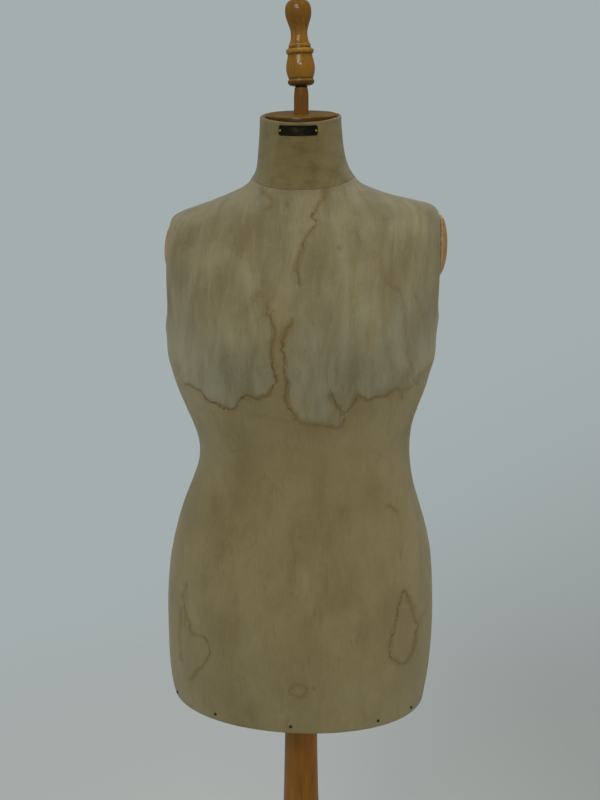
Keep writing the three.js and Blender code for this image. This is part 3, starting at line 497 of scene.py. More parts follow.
def groove_and_arris(points):
    """Groove and arris strength from the profile's turning angle, spread over a few mm."""
    step = np.diff(points, axis=0)
    a, b = step[:-1], step[1:]
    turn = np.arctan2(a[:, 0] * b[:, 1] - a[:, 1] * b[:, 0], (a * b).sum(1))
    s = arc_length(points)
    spread = np.exp(-((s[:, None] - s[None, 1:-1]) / 1.3) ** 2)
    groove = spread @ (np.clip(-turn, 0, 1.2) * 0.9)
    arris = spread @ (np.clip(turn, 0, 1.2) * 0.7)
    return np.clip(groove, 0, 1), np.clip(arris, 0, 1)


def turned(name, profile, finish, body, replaces=None, segments=72, steps=3,
           direction=(0, 0, 1), at=(0, 0, 0), shear=0.0, wobble=0.0, lean=(0.0, 0.0)):
    """Turned piece from a (radius, height) profile: axis to axis, or a closed loop off the axis.

    shear tilts heights along y, wobble is a share of out-of-round, lean is an angle about y
    and the height it turns at.
    """
    loop = profile[0] == profile[-1]
    points = smooth_profile(profile, steps)
    if loop:
        points = points[:-1]
    groove, arris = groove_and_arris(points)
    vertices, rows = [], []
    for radius, height in points:
        count = 1 if radius < 1e-4 and not loop else segments
        rows.append(range(len(vertices), len(vertices) + count))
        for k in range(count):
            t = 2 * PI * k / segments
            r = radius * (1 + wobble * math.sin(2 * t + height * 0.03))
            vertices.append((r * math.cos(t), r * math.sin(t), height))
    faces = []
    for low, high in zip(rows, rows[1:] + rows[:1] if loop else rows[1:]):
        for k in range(segments):
            k2 = (k + 1) % segments
            corners = (low[k % len(low)], low[k2 % len(low)],
                       high[k2 % len(high)], high[k % len(high)])
            face = tuple(dict.fromkeys(corners))    # a triangle at a pole
            if len(face) > 2:
                faces.append(face)
    x, y, z = np.array(vertices, float).T
    angle, pivot = lean
    z = z + shear * y - pivot
    c, s = math.cos(angle), math.sin(angle)
    V = xyz(c * x + s * z, y, -s * x + c * z + pivot)
    turn = Vector((0, 0, 1)).rotation_difference(Vector(direction).normalized())
    V = V @ np.array(turn.to_matrix()).T + np.array(at, float)
    counts = [len(row) for row in rows]
    attrs = {"cav": np.repeat(groove, counts), "edge": np.repeat(arris, counts)}
    obj = add_piece(name, V, faces, finish, body, attrs, sharp=40)
    if replaces:
        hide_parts(replaces)
    return obj


def shell_faces(index, closed=False):
    """Faces of a sheet with thickness; the inner points follow the outer ones in order."""
    inner = index.size
    beside = np.roll(index, -1, 1)
    span = index.shape[1] - (0 if closed else 1)

    def wall(a, b):
        return a, b, inner + b, inner + a

    faces = []
    for j in range(len(index) - 1):
        for i in range(span):
            a, b, c, d = index[j, i], index[j + 1, i], beside[j + 1, i], beside[j, i]
            faces += [(a, b, c, d), (inner + a, inner + d, inner + c, inner + b)]
    for i in range(span):
        faces += [wall(index[0, i], beside[0, i]), wall(beside[-1, i], index[-1, i])]
    if not closed:
        for j in range(len(index) - 1):
            faces += [wall(index[j + 1, 0], index[j, 0]), wall(index[j, -1], index[j + 1, -1])]
    return faces


def lattice_hash(i, j, k, seed):
    h = (i * 374761393 + j * 668265263 + k * 2147483647 + seed * 1274126177) & 0xFFFFFFFF
    h = ((h ^ (h >> 13)) * 1274126177) & 0xFFFFFFFF
    return ((h ^ (h >> 16)) & 0xFFFFFF) / float(0xFFFFFF)


def value_noise(points, size, seed):
    """Smooth value noise in -1..1; size is the lattice size in mm."""
    Q = points / size
    cell = np.floor(Q).astype(np.int64)
    f = Q - cell
    f = f * f * f * (f * (f * 6 - 15) + 10)
    total = 0
    for corner in np.ndindex(2, 2, 2):
        weight = np.where(np.array(corner), f, 1 - f)
        weight = weight[..., 0] * weight[..., 1] * weight[..., 2]
        i, j, k = np.moveaxis(cell + corner, -1, 0)
        total = total + weight * lattice_hash(i, j, k, seed)
    return 2 * total - 1


# ------------------------------------------------------------------ torso surface
# The CAD's ring table, from the neck down. Columns: +X side height and half width,
# -X side height and half width, front height and y, back height and y, exponent.
RINGS = np.array([
    [1507, 49.6, 1507, 51.2, 1498.5, -50, 1515.5, 50, 2.00],
    [1488, 51, 1488, 52, 1479, -52.5, 1497, 52.5, 2.00],
    [1468, 53.6, 1468, 53.8, 1457, -56.5, 1480, 56.5, 2.00],
    [1452, 58.2, 1452, 55.8, 1438, -61.5, 1467, 60.5, 2.02],
    [1440, 65.2, 1440, 60.5, 1424, -67.5, 1456, 65, 2.05],
    [1429, 77.5, 1428, 70.8, 1407, -76, 1441, 73, 2.10],
    [1418, 109, 1416, 97, 1387, -86, 1423, 83, 2.18],
    [1410.5, 142.6, 1406, 124, 1365, -96, 1402, 93, 2.25],
    [1404.5, 163.6, 1397.5, 148.1, 1344, -105, 1380, 100, 2.28],
    [1393, 174.5, 1387.5, 166.6, 1322, -113, 1354, 106, 2.28],
    [1376, 182.4, 1373, 175.4, 1300, -120, 1327, 110, 2.28],
    [1352, 187.2, 1350, 182, 1280, -124.5, 1301, 111.5, 2.28],
    [1325, 187.2, 1323, 182, 1262, -126.5, 1278, 110.5, 2.28],
    [1297, 182.2, 1295, 179, 1245, -127.5, 1257, 108, 2.28],
    [1268, 176.2, 1267, 175.5, 1228, -126.5, 1237, 104.5, 2.28],
    [1243, 173.4, 1242, 173, 1212, -124.5, 1218, 101, 2.26],
    [1217, 172.5, 1217, 171.8, 1196, -121.5, 1199, 97, 2.25],
    [1196, 167.2, 1196, 167.5, 1180, -118.5, 1181, 93.5, 2.22],
    [1173, 161.2, 1173, 160.8, 1163, -115, 1163, 90, 2.20],
    [1149, 152.5, 1149, 151.5, 1145, -111, 1145, 86.5, 2.18],
    [1124, 145.4, 1124, 141.5, 1123, -107, 1123, 84, 2.16],
    [1098, 142.8, 1098, 134.5, 1099, -104.5, 1099, 83, 2.15],
    [1072, 143.9, 1072, 135.6, 1075, -105, 1075, 86, 2.15],
    [1043, 149.1, 1043, 145.2, 1047, -108.5, 1047, 95, 2.15],
    [1014, 157.7, 1014, 157, 1017, -114, 1017, 106, 2.15],
    [985, 166.3, 985, 166.3, 987, -119.5, 987, 117, 2.15],
    [955, 173.1, 955, 174, 956, -124, 956, 126, 2.15],
    [920, 176.8, 920, 179.6, 920, -127.5, 920, 132, 2.15],
    [872, 178.9, 872, 183, 872, -129.5, 872, 134, 2.15],
    [825, 178.6, 825, 183.5, 825, -129, 825, 131, 2.12],
    [785, 176.2, 785, 182.6, 785, -127.5, 785, 126, 2.08],
    [755, 172.2, 755, 180.2, 755, -126, 755, 121, 2.03],
    [742, 170.1, 742, 177.4, 742, -125, 742, 119, 2.02],
], float)
V_MAX = len(RINGS) - 1
ARM_X_LEFT, ARM_X_RIGHT = 172.6, 161.6              # flat faces under the arm discs
ARM_Y = 12.0
BUST = [(83.0, 1252.0, 30.0), (-83.0, 1250.0, 30.0)]    # x, height, rise
NECK_Z = 1507.0


def rings_at(v):
    """Ring table read at fractional rows, as a cubic Hermite."""
    v = np.clip(v, 0, V_MAX)
    i = np.clip(np.floor(v).astype(int), 0, V_MAX - 1)
    t = (v - i)[..., None]
    p1, p2 = RINGS[i], RINGS[i + 1]
    p0, p3 = RINGS[np.clip(i - 1, 0, V_MAX)], RINGS[np.clip(i + 2, 0, V_MAX)]
    m1 = np.where((i == 0)[..., None], p2 - p1, (p2 - p0) / 2)
    m2 = np.where((i == V_MAX - 1)[..., None], p2 - p1, (p3 - p1) / 2)
    return ((2 * t ** 3 - 3 * t ** 2 + 1) * p1 + (t ** 3 - 2 * t ** 2 + t) * m1
            + (3 * t ** 2 - 2 * t ** 3) * p2 + (t ** 3 - t ** 2) * m2)


def smooth_min(a, b, k):
    h = np.clip(0.5 + 0.5 * (b - a) / k, 0, 1)
    return b * (1 - h) + a * h - k * h * (1 - h)


def surf(v, theta):
    """Surface point in mm; v counts rings, theta is 0 at +X and -90 degrees at the chest."""
    v, theta = np.broadcast_arrays(np.asarray(v, float), np.asarray(theta, float))
    ring = np.moveaxis(rings_at(v), -1, 0)
    c, s = np.cos(theta), np.sin(theta)
    left, front = c >= 0, s < 0
    exponent = ring[8] + np.where(left, 0.18, 0) * np.clip((v - 28) / 3, 0, 1)
    half_width = np.where(left, ring[1], ring[3])
    side_z = np.where(left, ring[0], ring[2])
    depth = np.where(front, -ring[5], ring[7])
    middle_z = np.where(front, ring[4], ring[6])
    x = half_width * np.sign(c) * np.abs(c) ** (2 / exponent)
    y = depth * np.sign(s) * np.abs(s) ** (2 / exponent)
    z = side_z + (middle_z - side_z) * np.abs(s) ** (1 + np.clip((v - 4) / 3, 0, 1))
    # the sides are cut flat at the arms; the cut fades out below them
    fade = np.clip((1292 - z) / 90, 0, 1) ** 2 * 60
    x = np.where(x > 0, smooth_min(x, ARM_X_LEFT + fade, 4),
                 -smooth_min(-x, ARM_X_RIGHT + fade, 4))
    for bust_x, bust_z, rise in BUST:
        dz = (z - bust_z) / np.where(z > bust_z, 78.0, 50.0)
        swell = rise * np.exp(-(((x - bust_x) / 50.0) ** 2) - dz * dz) * np.clip(-s * 1.6, 0, 1)
        y = np.where(front, y - swell, y)
    return np.stack([x, y, z], -1)


def surf_normal(v, theta):
    dv, dt = 0.02, 0.01
    down = surf(np.minimum(v + dv, V_MAX), theta) - surf(np.maximum(v - dv, 0), theta)
    round_ = surf(v, theta + dt) - surf(v, theta - dt)
    return unit(np.cross(down, round_))


def ring_at_height(height, theta):
    """v of the surface point at a height, found by halving."""
    low, high = 8.0, float(V_MAX)
    for _ in range(40):
        middle = (low + high) / 2
        if surf(middle, theta)[2] > height:
            low = middle
        else:
            high = middle
    return (low + high) / 2


# ------------------------------------------------------------------ stains
# Tide lines on the front: weight, closed, edge of a washed area, (x, height) points.
TIDES = [
    (0.80, 0, 0, [
        (49.8, 1452.4), (43.1, 1446.7), (39.5, 1437.4), (34.6, 1427.7), (32.4, 1417.1),
        (25.7, 1409.5), (22.5, 1397.9), (18.8, 1393.7), (25.4, 1388.8), (21.7, 1381.6),
        (12.5, 1369.6), (8.5, 1354.5), (4.3, 1345.0), (3.5, 1331.7), (7.6, 1318.6)]),
    (0.60, 0, 0, [(-42.3, 1421.9), (-32.3, 1415.4), (-30.5, 1405.7), (-37.2, 1401.7)]),
    (0.35, 0, 0, [(-38.3, 1307.6), (-31.5, 1296.5), (-26.2, 1285.2)]),
    (0.85, 0, 1, [
        (-26.2, 1285.2), (-21.9, 1267.1), (-23.7, 1247.4), (-25.4, 1231.0), (-22.4, 1207.0),
        (-26.0, 1193.7), (-31.2, 1185.7)]),
    (1.00, 0, 1, [
        (-139.5, 1188.3), (-128.0, 1186.5), (-116.4, 1180.5), (-107.0, 1171.5),
        (-96.7, 1167.3), (-83.3, 1163.8), (-74.0, 1165.1), (-64.2, 1177.9), (-57.5, 1184.5),
        (-45.5, 1181.1), (-31.2, 1185.7)]),
    (0.90, 0, 1, [
        (-1.8, 1273.5), (-10.0, 1262.2), (-12.3, 1247.0), (-9.7, 1230.5), (-10.4, 1217.0),
        (-6.8, 1199.6), (-9.5, 1180.1), (-3.7, 1166.0), (5.6, 1151.4)]),
    (0.70, 0, 1, [
        (5.6, 1151.4), (20.6, 1147.9), (41.0, 1145.9), (54.7, 1143.1), (61.4, 1154.6)]),
    (0.85, 0, 0, [
        (44.9, 1188.3), (47.0, 1178.3), (53.9, 1169.7), (60.0, 1163.8), (66.0, 1168.0)]),
    (0.85, 0, 1, [
        (66.0, 1168.0), (71.7, 1177.4), (75.4, 1187.1), (82.0, 1181.0), (90.3, 1177.4),
        (99.0, 1181.0), (109.2, 1181.8), (117.0, 1187.0), (124.0, 1189.5)]),
    (0.70, 0, 0, [(124.0, 1189.5), (128.2, 1183.0), (129.7, 1175.2)]),
    (0.55, 0, 1, [(129.6, 1186.6), (145.2, 1189.0), (151.3, 1201.0)]),
    (0.90, 1, 0, [
        (138.5, 925.8), (143.5, 912.0), (148.9, 896.2), (152.4, 882.0), (156.7, 870.9),
        (154.4, 853.2), (148.1, 829.6), (140.4, 822.8), (130.5, 829.8), (122.5, 840.2),
        (120.8, 855.5), (125.7, 873.9), (130.3, 899.3), (133.2, 917.3)]),
    (0.55, 0, 0, [(156.6, 873.9), (164.9, 880.2)]),
    (0.70, 0, 0, [
        (-144.4, 922.7), (-148.4, 899.4), (-141.4, 877.0), (-135.6, 858.5), (-116.2, 858.5),
        (-111.5, 837.2), (-124.1, 814.6), (-139.2, 791.5)]),
    (0.52, 0, 0, [(-148.4, 899.4), (-153.1, 870.2), (-156.1, 840.2), (-153.6, 809.2)]),
    (0.20, 0, 0, [(-55.3, 1159.0), (-38.5, 1156.3), (-15.2, 1152.6), (3.5, 1151.4)]),
    (0.40, 0, 0, [
        (99.4, 1349.9), (109.3, 1317.4), (121.1, 1311.5), (127.3, 1292.5), (130.5, 1267.8),
        (133.9, 1244.1), (139.9, 1209.4), (145.7, 1189.1)]),
    (0.35, 0, 0, [(140.6, 1304.4), (150.8, 1284.0), (152.5, 1274.7)]),
    (0.28, 0, 0, [(-137.9, 1349.9), (-129.9, 1373.6)]),
    (0.45, 1, 0, [
        (16.9, 802.8), (12.0, 795.6), (5.0, 793.9), (-2.7, 797.4), (-4.4, 802.8),
        (1.1, 810.3), (6.8, 812.2), (13.5, 809.3)]),
    (0.70, 0, 0, [(115.8, 1034.6), (120.4, 1030.5), (124.3, 1026.3)]),
]
# Outline of the washed area: the tide lines that edge it, joined and carried off the form.
tongue_right, bust_right, tongue_left, tongue_foot, bust_left, side_left = (
    points for _, _, edge, points in TIDES if edge)
WASHED = [(-260, 1262), (-200, 1242), (-168, 1220), (-150, 1197), *bust_right,
          *tongue_right[-2::-1], (-21, 1299), (-11, 1292), *tongue_left, *tongue_foot[1:],
          *bust_left, *side_left, (172, 1216), (200, 1232), (260, 1250), (260, 1800),
          (-260, 1800)]
# Brown (+) and bleached (-) patches: x, height, radius across, radius down, strength. The broad
# pale patches at (-87, 1250) and (95, 1257) are painted light on the bust.
BLOTS_FRONT = [
    (-127, 1364, 22, 18, 0.35), (-62, 1368, 17, 18, 0.40), (-33, 1299, 12, 25, 0.35),
    (70, 1372, 12, 22, 0.40), (99, 1361, 10, 20, 0.40), (129, 1341, 12, 15, 0.35),
    (31, 1289, 15, 25, 0.30), (41, 1338, 12, 10, 0.20), (19, 1343, 12, 18, 0.25),
    (-82, 1310, 10, 25, 0.20), (-55, 1294, 10, 25, 0.25), (101, 1245, 7, 50, 0.25),
    (66, 1257, 7, 62, 0.20), (-57, 1186, 10, 10, 0.40), (44, 1184, 10, 8, 0.40),
    (109, 1188, 12, 6, 0.30), (-56, 1338, 10, 20, -0.30), (-45, 1316, 7, 12, -0.30),
    # (-87, 1250) and (95, 1257) are painted light: pale patches low on the bust
    (-87, 1250, 37, 31, -0.20), (66, 1333, 20, 12, -0.25), (95, 1257, 30, 38, -0.25),
    (140, 1297, 7, 22, -0.25), (56, 1289, 24, 31, -0.15), (-84, 1382, 7, 18, -0.20),
    (122, 1383, 15, 18, -0.25), (-101, 1034, 9, 20, 0.42), (-32, 1034, 11, 10, 0.20),
    (58, 1036, 11, 8, 0.34), (-54, 1014, 10, 8, 0.22), (-80, 1081, 17, 10, 0.10),
    (-145, 1007, 10, 32, 0.20), (6, 1087, 24, 12, 0.15), (84, 992, 10, 12, 0.15),
    (-48, 873, 6, 9, -0.28), (76, 901, 6, 8, -0.28), (54, 860, 6, 6, -0.35),
    (22, 918, 7, 9, -0.28), (14, 945, 6, 15, -0.25), (77, 803, 11, 11, -0.25),
    (5, 803, 9, 6, -0.15), (6, 1474, 26, 34, 0.42), (24.9, 806.5, 2.4, 2.0, 1.30),
    (-10.8, 1407, 2.4, 3.0, 0.70), (51.4, 1358.6, 2.2, 2.6, 0.80),
    (106.3, 1391, 2.2, 2.6, 0.60), (6.2, 1377, 2.0, 2.4, 0.50),
]
BLOTS_BACK = [
    (-60, 1330, 26, 40, -0.25), (70, 1310, 30, 46, -0.25), (10, 1380, 24, 30, 0.35),
    (-110, 1290, 14, 44, 0.25), (38, 1258, 9, 40, 0.25), (118, 1350, 16, 20, 0.35),
    (-30, 1220, 12, 14, 0.35), (95, 1205, 14, 10, 0.30), (-70, 980, 20, 26, 0.25),
    (60, 900, 24, 18, -0.25), (0, 840, 30, 20, 0.15), (120, 1010, 12, 30, 0.25),
    (-120, 860, 14, 22, -0.25), (20, 1060, 22, 12, 0.25),
]


def curve_points(points, closed, step):
    """Catmull-Rom curve through the points, at about the given step in mm."""
    P = np.array(points, float)
    out = []
    for i in range(len(P) if closed else len(P) - 1):
        p0, p1, p2, p3 = P.take(range(i - 1, i + 3), axis=0, mode="wrap" if closed else "clip")
        count = max(int(np.linalg.norm(p2 - p1) / step), 1)
        for k in range(count):
            t = k / count
            out.append(0.5 * (2 * p1 + (p2 - p0) * t + (2 * p0 - 5 * p1 + 4 * p2 - p3) * t * t
                              + (3 * p1 - p0 - 3 * p2 + p3) * t ** 3))
    out.append(P[0] if closed else P[-1])
    return np.array(out)


def nearest(Q, curve):
    """Distance from each 2D point to the curve, and the side it lies on."""
    best, side = np.full(len(Q), 1e9), np.ones(len(Q))
    for start, along in zip(curve[:-1], np.diff(curve, axis=0)):
        r = Q - start
        t = np.clip((r @ along) / ((along ** 2).sum() + 1e-12), 0, 1)
        square = ((r - t[:, None] * along) ** 2).sum(1)
        m = square < best
        best[m] = square[m]
        side[m] = np.sign(along[0] * r[m, 1] - along[1] * r[m, 0])
    return np.sqrt(best), np.where(side == 0, 1, side)


def in_polygon(Q, outline):
    x, y = Q.T
    inside = np.zeros(len(Q), bool)
    for (xi, yi), (xj, yj) in zip(outline, np.roll(outline, 1, 0)):
        crosses = (yi > y) != (yj > y)
        inside ^= crosses & (x < (xj - xi) * (y - yi) / (yj - yi + 1e-12) + xi)
    return inside


def stain_fields(P, back):
    """The tide, tide_w, area and blot attributes that the linen material reads."""
    Q = P[:, [0, 2]]
    x, z = Q.T
    if back:
        line = (1206 + 15 * np.sin(x / 25.0 + 0.6) + 9 * np.sin(x / 11.3 + 2.0)
                + 4 * np.sin(x / 5.3) + 20 * (np.abs(x) / 170) ** 4)
        area = z - line
        tide = area.copy()
        weight = 0.75 * np.clip(0.65 + 0.6 * value_noise(P, 60, 71), 0, 1)
        upper = z - 1338 + 22 * np.cos(x / 38.0)
        m = np.abs(upper) < np.abs(tide)
        tide[m], weight[m] = upper[m], 0.25
    else:
        outline = curve_points(WASHED, True, 3.0)
        distance, _ = nearest(Q, outline)
        inside = in_polygon(Q, outline)
        area = np.where(inside, distance, -distance)
        tide, weight = np.full(len(P), 60.0), np.zeros(len(P))
        for strength, closed, edge, points in TIDES:
            distance, side = nearest(Q, curve_points(points, closed, 2.0))
            if edge:
                side = np.where(inside, 1, -1)
            m = distance < np.abs(tide)
            tide[m], weight[m] = (distance * side)[m], strength
    weight = weight * np.clip(1 - (np.abs(tide) - 5.5) / 3.0, 0, 1)
    blot = np.zeros(len(P))
    for bx, bz, across, down, strength in BLOTS_BACK if back else BLOTS_FRONT:
        blot += strength * np.exp(-((x - bx) / across) ** 2 - ((z - bz) / down) ** 2)
    return tide, weight, np.clip(area, -60, 60), blot


# ------------------------------------------------------------------ linen covers
EDGE_STEPS = [0, 0.35, 0.8, 1.4, 2.2, 3.2, 4.6, 6.4]    # fine rows next to an edge, mm
ROW_LENGTH = 420.0          # typical row, for placing the fine columns
LINEN_THICK = 1.1
# Hem turned under: out and up for the outer face, then for the inner face.
HEM = [
    (-0.15, -0.75, -1.22, -0.05), (-0.9, -1.25, -1.5, -0.30), (-2.4, -1.40, -2.6, -0.42),
    (-4.4, -1.40, -4.4, -0.45), (-6.4, -1.25, -6.1, -0.40), (-7.4, -0.75, -6.7, 0.10),
    (-7.72, 0.6, -6.75, 1.2), (-7.72, 3.3, -6.75, 3.3),
]
# Roll at the neck: share of the way out and height, outer face then inner face.
NECK_ROLL = [
    (0.0, 0.7, 0.19, 0.7), (0.0, 1.9, 0.19, 1.8), (0.03, 3.3, 0.22, 2.9),
    (0.11, 4.5, 0.29, 3.7), (0.25, 5.4, 0.38, 4.3), (0.42, 5.9, 0.47, 4.7),
    (0.60, 6.0, 0.58, 4.8), (0.76, 5.75, 0.67, 4.6), (0.89, 5.1, 0.74, 4.2),
    (0.97, 4.2, 0.78, 3.6), (1.0, 3.2, 0.79, 3.0), (1.0, 2.2, 0.79, 2.1), (1.0, 1.1, 0.79, 1.1),
]
ROLL_INNER_R = 45.1


def column_shares(count):
    """Column fractions with fine columns next to both long edges."""
    near = np.array(EDGE_STEPS) / ROW_LENGTH
    middle = np.linspace(near[-1], 1 - near[-1], count - 14)
    return np.concatenate([near, middle[1:-1], 1 - near[::-1]])


def row_stations(first, last, count, fine_foot):
    """v of rows at even arc length, fine next to the top edge and, if asked, the lower one."""
    dense = np.linspace(first, last, 900)
    s = 0.5 * (arc_length(surf(dense, -0.8)) + arc_length(surf(dense, -PI / 2)))
    length = s[-1]
    foot = [length - k for k in EDGE_STEPS[::-1]] if fine_foot else [length]
    even = [k for k in np.linspace(0, length, count)
            if EDGE_STEPS[-1] + 1.6 < k < foot[0] - 1.6]
    return np.interp(EDGE_STEPS + even + foot, s, dense)


def bell(distance, centre, width):
    return np.exp(-((distance - centre) / width) ** 2)


def relief(P, v, across, down, d_side, seam, closed):
    """Height of the linen over the ideal surface, mm."""
    d_low = down[-1] - down
    lumps = (0.55 * value_noise(P, 95, 11) + 0.28 * value_noise(P, 37, 12)
             + 0.10 * value_noise(P, 14, 13))
    if closed:
        edges = -0.18 * bell(d_low, 0, 0.7) + 0.10 * bell(d_low, 3.6, 2.2)
    else:
        # small puckers that run away from a sewn edge, and the sunk seams
        top = value_noise(xyz(across, down * 0.25, 0), 5.5, 21)
        side = value_noise(xyz(across * 0.25, down, 0), 5.0, 22)
        edges = bell(down, 3, 7.0) * 0.22 * top + bell(d_side, 3, 6.0) * 0.16 * side
        edges = edges - 0.55 * bell(d_side, 0, 1.0) + 0.26 * bell(d_side, 3.6, 2.2)
        edges = edges - 0.22 * bell(down, 0, 0.7) + 0.10 * bell(down, 3.6, 2.2)
    # drag lines where the neck spreads into the shoulders
    drag = bell(v, 5.2, 1.3) * 0.40 * value_noise(P * (1, 1, 0.35), 15, 23)
    height = lumps * np.clip(seam / 12, 0.15, 1) + edges + drag * np.clip(down / 10, 0, 1)
    return np.maximum(height, -0.7)


def hem_rows(low_edge, normal, across):
    """Outer and inner rows of the linen turned under the shell and a little way up inside."""
    out = unit(normal * (1, 1, 0))
    outer, inner = [], []
    for outer_out, outer_up, inner_out, inner_up in HEM:
        wave = 0.25 * value_noise(xyz(across, outer_out * 3, 0), 9, 31)
        row = low_edge + out * outer_out
        row[:, 2] += outer_up + wave * (0.6 if outer_up < -0.5 else 0.2)
        outer.append(row)
        inner.append(low_edge + out * inner_out + (0, 0, inner_up))
    return np.array(outer), np.array(inner)


def neck_rows(top_edge, theta):
    """Outer and inner rows of the linen rolled in over the top towards the wooden disc."""
    c, s = np.cos(theta), np.sin(theta)
    top_radius = np.hypot(top_edge[:, 0], top_edge[:, 1])
    circle = xyz(50 * c, 50 * s, 0)
    gather = 0.35 * value_noise(circle, 4.2, 41) + 0.2 * value_noise(circle, 11, 42)

    def row(share, height):
        r = ROLL_INNER_R + (top_radius - ROLL_INNER_R) * share
        lift = height * (1 - 0.46 * np.clip(-s, 0, 1) ** 2)
        return xyz(r * c, r * s, NECK_Z + 0.17 * r * s + lift)

    outer = [row(share, height + gather * math.exp(-((share - 0.45) / 0.35) ** 2))
             for share, height, _, _ in NECK_ROLL]
    inner = [row(share, height) for _, _, share, height in NECK_ROLL]
    return np.array(outer), np.array(inner)


def cover(name, angles, v_span, rows, columns, finish, replaces, closed=False, back=False):
    """Linen over part of the form: a panel with a hem, or the closed neck with a roll."""
    v_rows = row_stations(*v_span, rows, closed)
    dense = np.linspace(*angles, 1500)
    shares = np.linspace(0, 1, columns + 1)[:-1] if closed else column_shares(columns)
    count = len(shares)
    theta, width = [], []
    for v in v_rows:
        s = arc_length(surf(v, dense))
        theta.append(np.interp(shares * s[-1], s, dense))
        width.append(s[-1])
    theta, width = np.array(theta), np.array(width)[:, None]
    v = np.repeat(v_rows[:, None], count, 1)
    P = surf(v, theta)
    normal = surf_normal(v, theta)
    # normals turn level at the top of the neck and at the foot of the form
    normal[..., 2] *= 1 - np.clip(1 - np.minimum(v, V_MAX - v) / 0.5, 0, 1)
    normal = unit(normal)
    down = arc_length(P)
    d_low = down[-1] - down
    across = shares * width
    if closed:
        d_side = np.full_like(down, 200.0)
        seam = np.minimum(d_side, np.minimum(down, d_low + 1.1))
    else:
        d_side = np.minimum(across, width - across)
        seam = np.minimum(d_side, np.minimum(down + 1.1, d_low + 4))
    height = relief(P, v, across, down, d_side, seam, closed)
    outer = P + normal * height[..., None]
    inner = P - normal * LINEN_THICK
    strip = xyz((across - width / 2) / 1000, down / 1000, 0)
    if closed:
        roll_outer, roll_inner = neck_rows(P[0], theta[0])
        outer, inner = np.concatenate([roll_outer, outer]), np.concatenate([roll_inner, inner])
        share, roll_z = np.array(NECK_ROLL)[:, :2].T[..., None]
        roll_strip = xyz(across[:1] / 1000, -(1 - share) * 0.008 - roll_z / 1000 * 0.3, 0)
        # the roll's inner edge counts as a seam, so it takes the dark seam line: painted shade
        # in the gap by the wooden disc
        roll_seam = 0.7 + 9 * share + np.where(share > 0.3, 0.5 * roll_z, 0)
        strip = np.concatenate([roll_strip, strip])
        seam = np.concatenate([roll_seam.repeat(count, 1), np.minimum(seam + 12, d_low)])
    else:
        hem_outer, hem_inner = hem_rows(P[-1], normal[-1], across[-1])
        outer, inner = np.concatenate([outer, hem_outer]), np.concatenate([inner, hem_inner])
        rows_on = np.arange(1, len(HEM) + 1)[:, None, None]
        strip = np.concatenate([strip, strip[-1:] + rows_on * (0, 0.0012, 0)])
        seam = np.concatenate([seam, np.full((len(HEM), count), 1.6)])
    index = np.arange(seam.size).reshape(seam.shape)
    outer, inner = outer.reshape(-1, 3), inner.reshape(-1, 3)
    tide, weight, area, blot = stain_fields(outer, back)
    if closed:
        # the drawn stains lie on the chest side only
        on_front = outer[:, 1] < 0
        weight, blot = weight * on_front, blot * on_front
    attrs = {"st": strip.reshape(-1, 3), "tide": tide, "tide_w": weight, "area": area,
             "blot": blot, "seam": seam.ravel()}
    attrs = {key: np.concatenate([values, values]) for key, values in attrs.items()}
    obj = add_piece(name, np.concatenate([outer, inner]), shell_faces(index, closed), finish,
                    "torso", attrs, sharp=60)
    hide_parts(*replaces)


GAP = 0.0009                # half the angle left open at a seam
PANEL_V = (4.006, V_MAX)    # rings from the neck seam to the foot
cover("cover_front", (-PI + GAP, -GAP), PANEL_V, 190, 132, "linen", ["front_cover"])
cover("cover_back_left", (GAP, PI / 2 - GAP), PANEL_V, 150, 74, "linen",
      ["back_cover_left"], back=True)
cover("cover_back_right", (PI / 2 + GAP, PI - GAP), PANEL_V, 150, 74, "linen",
      ["back_cover_right"], back=True)
cover("cover_neck", (0, 2 * PI), (0.0, 3.994), 34, 150, "linen_neck",
      ["neck_cover", "neck_piping"], closed=True)

# ------------------------------------------------------------------ turned wood
# Profiles are (radius, height) in mm; a third value of 1 marks a sharp corner.
NECK_DISC = [
    (9.6, 0.3, 1), (43.6, 0.3, 1), (44.4, 0.9), (44.5, 2.4), (44.5, 5.0), (44.35, 6.6),
    (43.8, 7.9), (42.7, 8.9), (41.0, 9.4), (38.0, 9.5), (30.0, 9.55), (20.0, 9.5), (11.0, 9.5),
    (9.9, 9.2), (9.6, 8.7, 1), (9.6, 0.3, 1),
]
turned("neck_disc", NECK_DISC, "neck_disc", "torso", "neck_cap", segments=112, steps=4,
       at=(0, 0, NECK_Z - 1.0), shear=0.138)

FINIAL_Z = NECK_Z + 6.0
FINIAL_FOOT = FINIAL_Z + 34.9
ROD_TOP = 1545.2
FINIAL = [  # heights over FINIAL_Z
    (10.2, 34.9, 1), (12.0, 35.1), (13.9, 35.8), (15.5, 37.1), (16.25, 39.0), (16.2, 40.5),
    (15.6, 41.7, 1), (14.9, 42.3), (14.8, 43.2, 1), (15.5, 45.0), (16.4, 47.6), (17.2, 50.8),
    (17.6, 54.2), (17.55, 57.6), (17.0, 61.4), (16.2, 65.0), (15.3, 68.4), (14.95, 70.6),
    (14.95, 71.7, 1), (16.1, 72.7), (16.95, 74.3), (17.1, 75.8), (16.4, 77.2), (14.9, 78.1, 1),
    (13.9, 78.5), (13.6, 79.6), (13.55, 82.4, 1), (12.5, 83.9), (11.5, 86.2), (10.7, 89.2),
    (10.25, 92.6), (10.2, 96.0), (10.6, 99.6), (11.6, 103.3), (13.0, 107.2), (14.4, 111.2),
    (15.5, 115.2), (16.0, 119.4), (15.85, 123.6), (15.0, 127.4), (13.2, 130.6), (10.9, 132.8),
    (8.8, 133.8, 1), (7.8, 135.0), (7.45, 137.0), (7.8, 139.0), (8.3, 141.2), (8.1, 143.2),
    (6.7, 145.4), (4.2, 147.0), (0, 147.6),
]
socket = [(0, ROD_TOP + 34, 1), (5.4, ROD_TOP + 33.4, 1), (5.4, FINIAL_FOOT, 1)]
